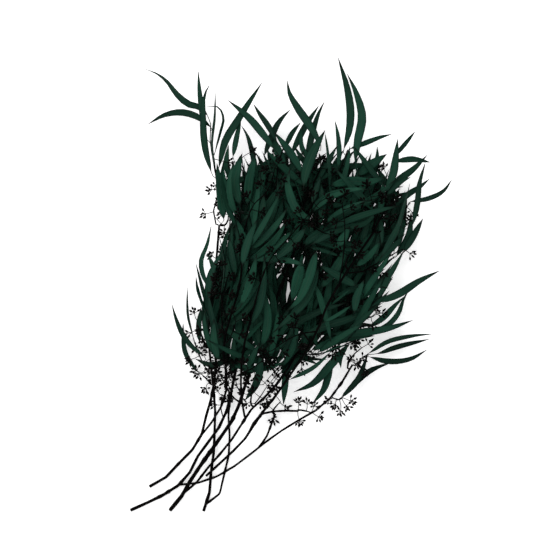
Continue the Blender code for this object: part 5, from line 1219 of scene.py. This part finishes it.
# how strongly the painted shade darkens the lowest leaves
PAINTED_SHADE_SHARE = 0.5
VEIN_COUNT = 300.0
VEIN_SLANT = -26.0
LEAF_GLOSS = 0.045
BARK_DEEP = (0.0006, 0.0005, 0.0005)
BARK_WORN = (0.0030, 0.0025, 0.0022)
BARK_FLECK = (0.009, 0.0078, 0.0066)
BARK_STRETCH = (3.0, 3.0, 0.6)  # furrows run along the rod
BARK_GLOSS = 0.012
BUD_DEEP = (0.0008, 0.0007, 0.0006)
BUD_RUSSET = (0.0034, 0.0022, 0.0019)
BUD_CAP = (0.0026, 0.0032, 0.0026)
BUD_GLOSS = 0.015


class Nodes:
    """Short calls for the nodes of one finish."""

    def __init__(self, name):
        self.finish = bpy.data.materials.new(name)
        self.finish.use_nodes = True
        self.tree = self.finish.node_tree
        self.shader = self.tree.nodes["Principled BSDF"]

    def add(self, kind, **settings):
        node = self.tree.nodes.new(kind)
        for key, value in settings.items():
            setattr(node, key, value)
        return node

    def put(self, value, socket):
        if isinstance(value, bpy.types.NodeSocket):
            self.tree.links.new(value, socket)
        else:
            socket.default_value = value

    def math(self, operation, a, b=0.0, c=0.0):
        node = self.add("ShaderNodeMath", operation=operation)
        for value, socket in zip((a, b, c), node.inputs):
            self.put(value, socket)
        return node.outputs[0]

    def step(self, value, low, high):
        """0 below low, 1 above high, smooth between."""
        node = self.add("ShaderNodeMapRange", interpolation_type="SMOOTHSTEP")
        self.put(value, node.inputs["Value"])
        node.inputs["From Min"].default_value = low
        node.inputs["From Max"].default_value = high
        return node.outputs[0]

    def mix(self, share, a, b):
        node = self.add("ShaderNodeMix", data_type="RGBA")
        for value, socket in ((share, node.inputs[0]), (a, node.inputs[6]), (b, node.inputs[7])):
            self.put((*value, 1.0) if isinstance(value, tuple) else value, socket)
        return node.outputs[2]

    def noise(self, vector, scale, detail=3.0):
        node = self.add("ShaderNodeTexNoise")
        self.put(vector, node.inputs["Vector"])
        node.inputs["Scale"].default_value = scale
        node.inputs["Detail"].default_value = detail
        return node.outputs["Fac"]

    def grain(self):
        """The piece's own vector attribute, whole and as three numbers."""
        read = self.add("ShaderNodeAttribute", attribute_name="grain")
        split = self.add("ShaderNodeSeparateXYZ")
        self.tree.links.new(read.outputs["Vector"], split.inputs[0])
        return (read.outputs["Vector"], *split.outputs)

    def place(self):
        return self.add("ShaderNodeTexCoord").outputs["Object"]

    def bump(self, height, strength, distance):
        node = self.add("ShaderNodeBump")
        node.inputs["Strength"].default_value = strength
        node.inputs["Distance"].default_value = distance
        self.put(height, node.inputs["Height"])
        self.tree.links.new(node.outputs[0], self.shader.inputs["Normal"])


def leaf_finish():
    """Dyed leaf: deep green that varies leaf by leaf, with painted light that makes leaves high in the bunch
    paler and painted shade that makes leaves low in the bunch darker; a paler midrib, slanting veins, and a
    dark margin, foot and tip."""
    n = Nodes("leaf_green")
    _, across, along, tone = n.grain()
    place = n.place()
    side = n.math("ABSOLUTE", across)
    # The tone's pale end is partly random and partly painted light on leaves high in the bunch.
    colour = n.mix(tone, LEAF_DEEP, LEAF_BLOOM_AND_PAINTED_LIGHT)
    cloud = n.noise(place, 38.0, 4.0)
    colour = n.mix(n.math("MULTIPLY", n.step(cloud, 0.35, 0.75), 0.45), colour, LEAF_CLOUD)
    slant = n.math("ADD", n.math("MULTIPLY", along, VEIN_COUNT), n.math("MULTIPLY", side, VEIN_SLANT))
    vein = n.math("POWER", n.math("ABSOLUTE", n.math("SINE", slant)), 6.0)
    colour = n.mix(n.math("MULTIPLY", vein, 0.10), colour, LEAF_VEIN)
    midrib = n.math("SUBTRACT", 1.0, n.step(side, 0.03, 0.13))
    colour = n.mix(n.math("MULTIPLY", midrib, 0.35), colour, LEAF_MIDRIB)
    margin = n.step(side, 0.86, 1.0)
    colour = n.mix(n.math("MULTIPLY", margin, 0.45), colour, LEAF_MARGIN)
    foot = n.math("SUBTRACT", 1.0, n.step(along, -0.02, 0.10))
    ends = n.math("MAXIMUM", n.step(along, 0.80, 0.97), foot)
    colour = n.mix(n.math("MULTIPLY", ends, 0.92), colour, LEAF_BURNT)
    split = n.add("ShaderNodeSeparateXYZ")
    n.put(place, split.inputs[0])
    # Painted shade: leaves are darkened by their height, most near the floor.
    shade = n.math("MULTIPLY_ADD", n.step(split.outputs[2], *PAINTED_SHADE_HEIGHTS), -PAINTED_SHADE_SHARE, PAINTED_SHADE_SHARE)
    colour = n.mix(shade, colour, LEAF_PAINTED_SHADE)
    n.put(colour, n.shader.inputs["Base Color"])
    n.put(n.math("MULTIPLY_ADD", n.noise(place, 90.0), 0.22, 0.46), n.shader.inputs["Roughness"])
    n.shader.inputs["Specular IOR Level"].default_value = LEAF_GLOSS
    height = n.math("ADD", n.math("MULTIPLY", midrib, -0.6), n.math("MULTIPLY", vein, 0.12))
    n.bump(n.math("ADD", height, n.math("MULTIPLY", cloud, 0.3)), 0.35, 0.0006)
    return n.finish


def bark_finish():
    """Near-black bark with fine lengthwise furrows and a few paler flecks."""
    n = Nodes("bark_dark")
    grain, _, _, _ = n.grain()
    stretch = n.add("ShaderNodeVectorMath", operation="MULTIPLY")
    n.put(grain, stretch.inputs[0])
    stretch.inputs[1].default_value = BARK_STRETCH
    furrow = n.noise(stretch.outputs[0], 2.4, 5.0)
    fleck = n.noise(n.place(), 160.0, 2.0)
    colour = n.mix(n.step(furrow, 0.38, 0.72), BARK_DEEP, BARK_WORN)
    colour = n.mix(n.math("MULTIPLY", n.step(fleck, 0.62, 0.72), 0.35), colour, BARK_FLECK)
    n.put(colour, n.shader.inputs["Base Color"])
    n.put(n.math("MULTIPLY_ADD", furrow, 0.3, 0.45), n.shader.inputs["Roughness"])
    n.shader.inputs["Specular IOR Level"].default_value = BARK_GLOSS
    n.bump(furrow, 0.6, 0.0005)
    return n.finish


def bud_finish():
    """Dark buds: black-brown, a little redder on some, with a duller cap."""
    n = Nodes("bud_dark")
    _, tone, _, share = n.grain()
    fine = n.noise(n.place(), 400.0, 2.0)
    colour = n.mix(tone, BUD_DEEP, BUD_RUSSET)
    colour = n.mix(n.math("MULTIPLY", n.step(share, 0.72, 0.9), 0.5), colour, BUD_CAP)
    n.put(colour, n.shader.inputs["Base Color"])
    n.put(n.math("MULTIPLY_ADD", fine, 0.25, 0.32), n.shader.inputs["Roughness"])
    n.shader.inputs["Specular IOR Level"].default_value = BUD_GLOSS
    n.bump(fine, 0.3, 0.0002)
    return n.finish


# ---- The bunch ----
def twig_skin(path, radii, rng):
    """Bark for one twig, with a swollen joint for each stretch of TWIG_KNOTS."""
    return bark_skin(path, *radii, TWIG_FINE_SIDES, rng, int(length_of(path) / TWIG_KNOTS))


def make_branch(name, bunch, bark, rng):
    skins = []
    for owner, path, start, end in bunch["branches"]:
        if owner == name:
            thick = np.maximum((start, end), LEAST_WOOD)
            knots = int(length_of(path) / BRANCH_KNOTS)
            skins.append(bark_skin(path, *thick, BARK_SIDES, rng, knots))
    finished(name + "_bark", *zip(*skins), bark, "bark", name)


def make_buds(name, bunch, bud, rng):
    skins = []
    for twig, centre in bunch["umbels"][name]:
        skins += umbel_skins(twig, centre, rng)
    if skins:
        finished(name + "_buds", *zip(*skins), bud, "bud")


def build_bunch(bunch):
    """Every branch, top bud twig and spray; a piece stands for the solid whose name is given last."""
    leaf, bark, bud = leaf_finish(), bark_finish(), bud_finish()
    rng = random.Random(LOOK_SEED)
    for name in BRANCHES:
        make_branch(name, bunch, bark, rng)
    for name, twig in bunch["top"]:
        rings, marks = twig_skin(twig, TOP_TWIG_RADII, rng)
        finished(name + "_twig", [rings], [marks], bark, "bark")
        make_buds(name, bunch, bud, rng)
    for name, twig in bunch["twigs"].items():
        leafy = name in SPRAYS
        wood, wood_marks = twig_skin(twig, TWIG_RADII if leafy else BARE_TWIG_RADII, rng)
        if leafy:
            rings, marks = leaf_skins(bunch["leaves"][name], rng)
            finished(name + "_leaves", [rings], [marks], leaf, "leaf", name)
            finished(name + "_twig", [wood], [wood_marks], bark, "bark")
        else:
            finished(name + "_twig", [wood], [wood_marks], bark, "bark", name)
        make_buds(name, bunch, bud, rng)


# ---- Floor, light and camera ----
FLOOR_HALF = 4.0
FLOOR_WHITE = (0.9, 0.9, 0.9, 1)
FLOOR_GLOW = 0.4
WHITE = (1, 1, 1, 1)
SOFTBOX_PLACE = (-0.9, 1.0, 2.2)
SOFTBOX_SIZE = 1.4
SOFTBOX_POWER = 30.0
CAMERA_HEIGHT = 3.2
FOLIAGE_HEIGHT = 0.04  # the camera's height is counted from here
VIEW_WIDTH = 0.84
VIEW_CENTRE = (-0.017, 0.0075)
SENSOR = 36.0


def make_floor():
    """A plain white sheet that glows a little, so that it stays white under the bunch."""
    corners = [(-FLOOR_HALF, -FLOOR_HALF, 0), (FLOOR_HALF, -FLOOR_HALF, 0),
               (FLOOR_HALF, FLOOR_HALF, 0), (-FLOOR_HALF, FLOOR_HALF, 0)]
    mesh = bpy.data.meshes.new("floor")
    mesh.from_pydata(corners, [], [(0, 1, 2, 3)])
    floor = bpy.data.objects.new("floor", mesh)
    bpy.context.scene.collection.objects.link(floor)
    paper = bpy.data.materials.new("floor_white")
    paper.use_nodes = True
    sheet = paper.node_tree.nodes["Principled BSDF"]
    sheet.inputs["Base Color"].default_value = FLOOR_WHITE
    sheet.inputs["Roughness"].default_value = 0.9
    sheet.inputs["Emission Color"].default_value = WHITE
    sheet.inputs["Emission Strength"].default_value = FLOOR_GLOW
    mesh.materials.append(paper)


def make_light():
    """Even white light from all round, and one wide soft lamp up on the left."""
    world = bpy.data.worlds.new("studio")
    world.use_nodes = True
    world.node_tree.nodes["Background"].inputs["Color"].default_value = WHITE
    world.node_tree.nodes["Background"].inputs["Strength"].default_value = 1.0
    bpy.context.scene.world = world
    lamp = bpy.data.lights.new("softbox", "AREA")
    lamp.size = SOFTBOX_SIZE
    lamp.energy = SOFTBOX_POWER
    light = bpy.data.objects.new("softbox", lamp)
    light.location = SOFTBOX_PLACE
    light.rotation_euler = Vector(SOFTBOX_PLACE).to_track_quat("Z", "Y").to_euler()
    bpy.context.scene.collection.objects.link(light)


def make_camera():
    """A camera that looks straight down on the bunch."""
    camera = bpy.data.cameras.new("camera")
    camera.sensor_width = SENSOR
    camera.lens = SENSOR * CAMERA_HEIGHT / VIEW_WIDTH
    viewer = bpy.data.objects.new("camera", camera)
    viewer.location = (*VIEW_CENTRE, CAMERA_HEIGHT + FOLIAGE_HEIGHT)
    bpy.context.scene.collection.objects.link(viewer)
    bpy.context.scene.camera = viewer
    bpy.context.scene.view_settings.view_transform = "Standard"


grown, placed_pieces = grow_bunch()
fill_in(grown, placed_pieces)
build_bunch(grown)
make_floor()
make_light()
make_camera()
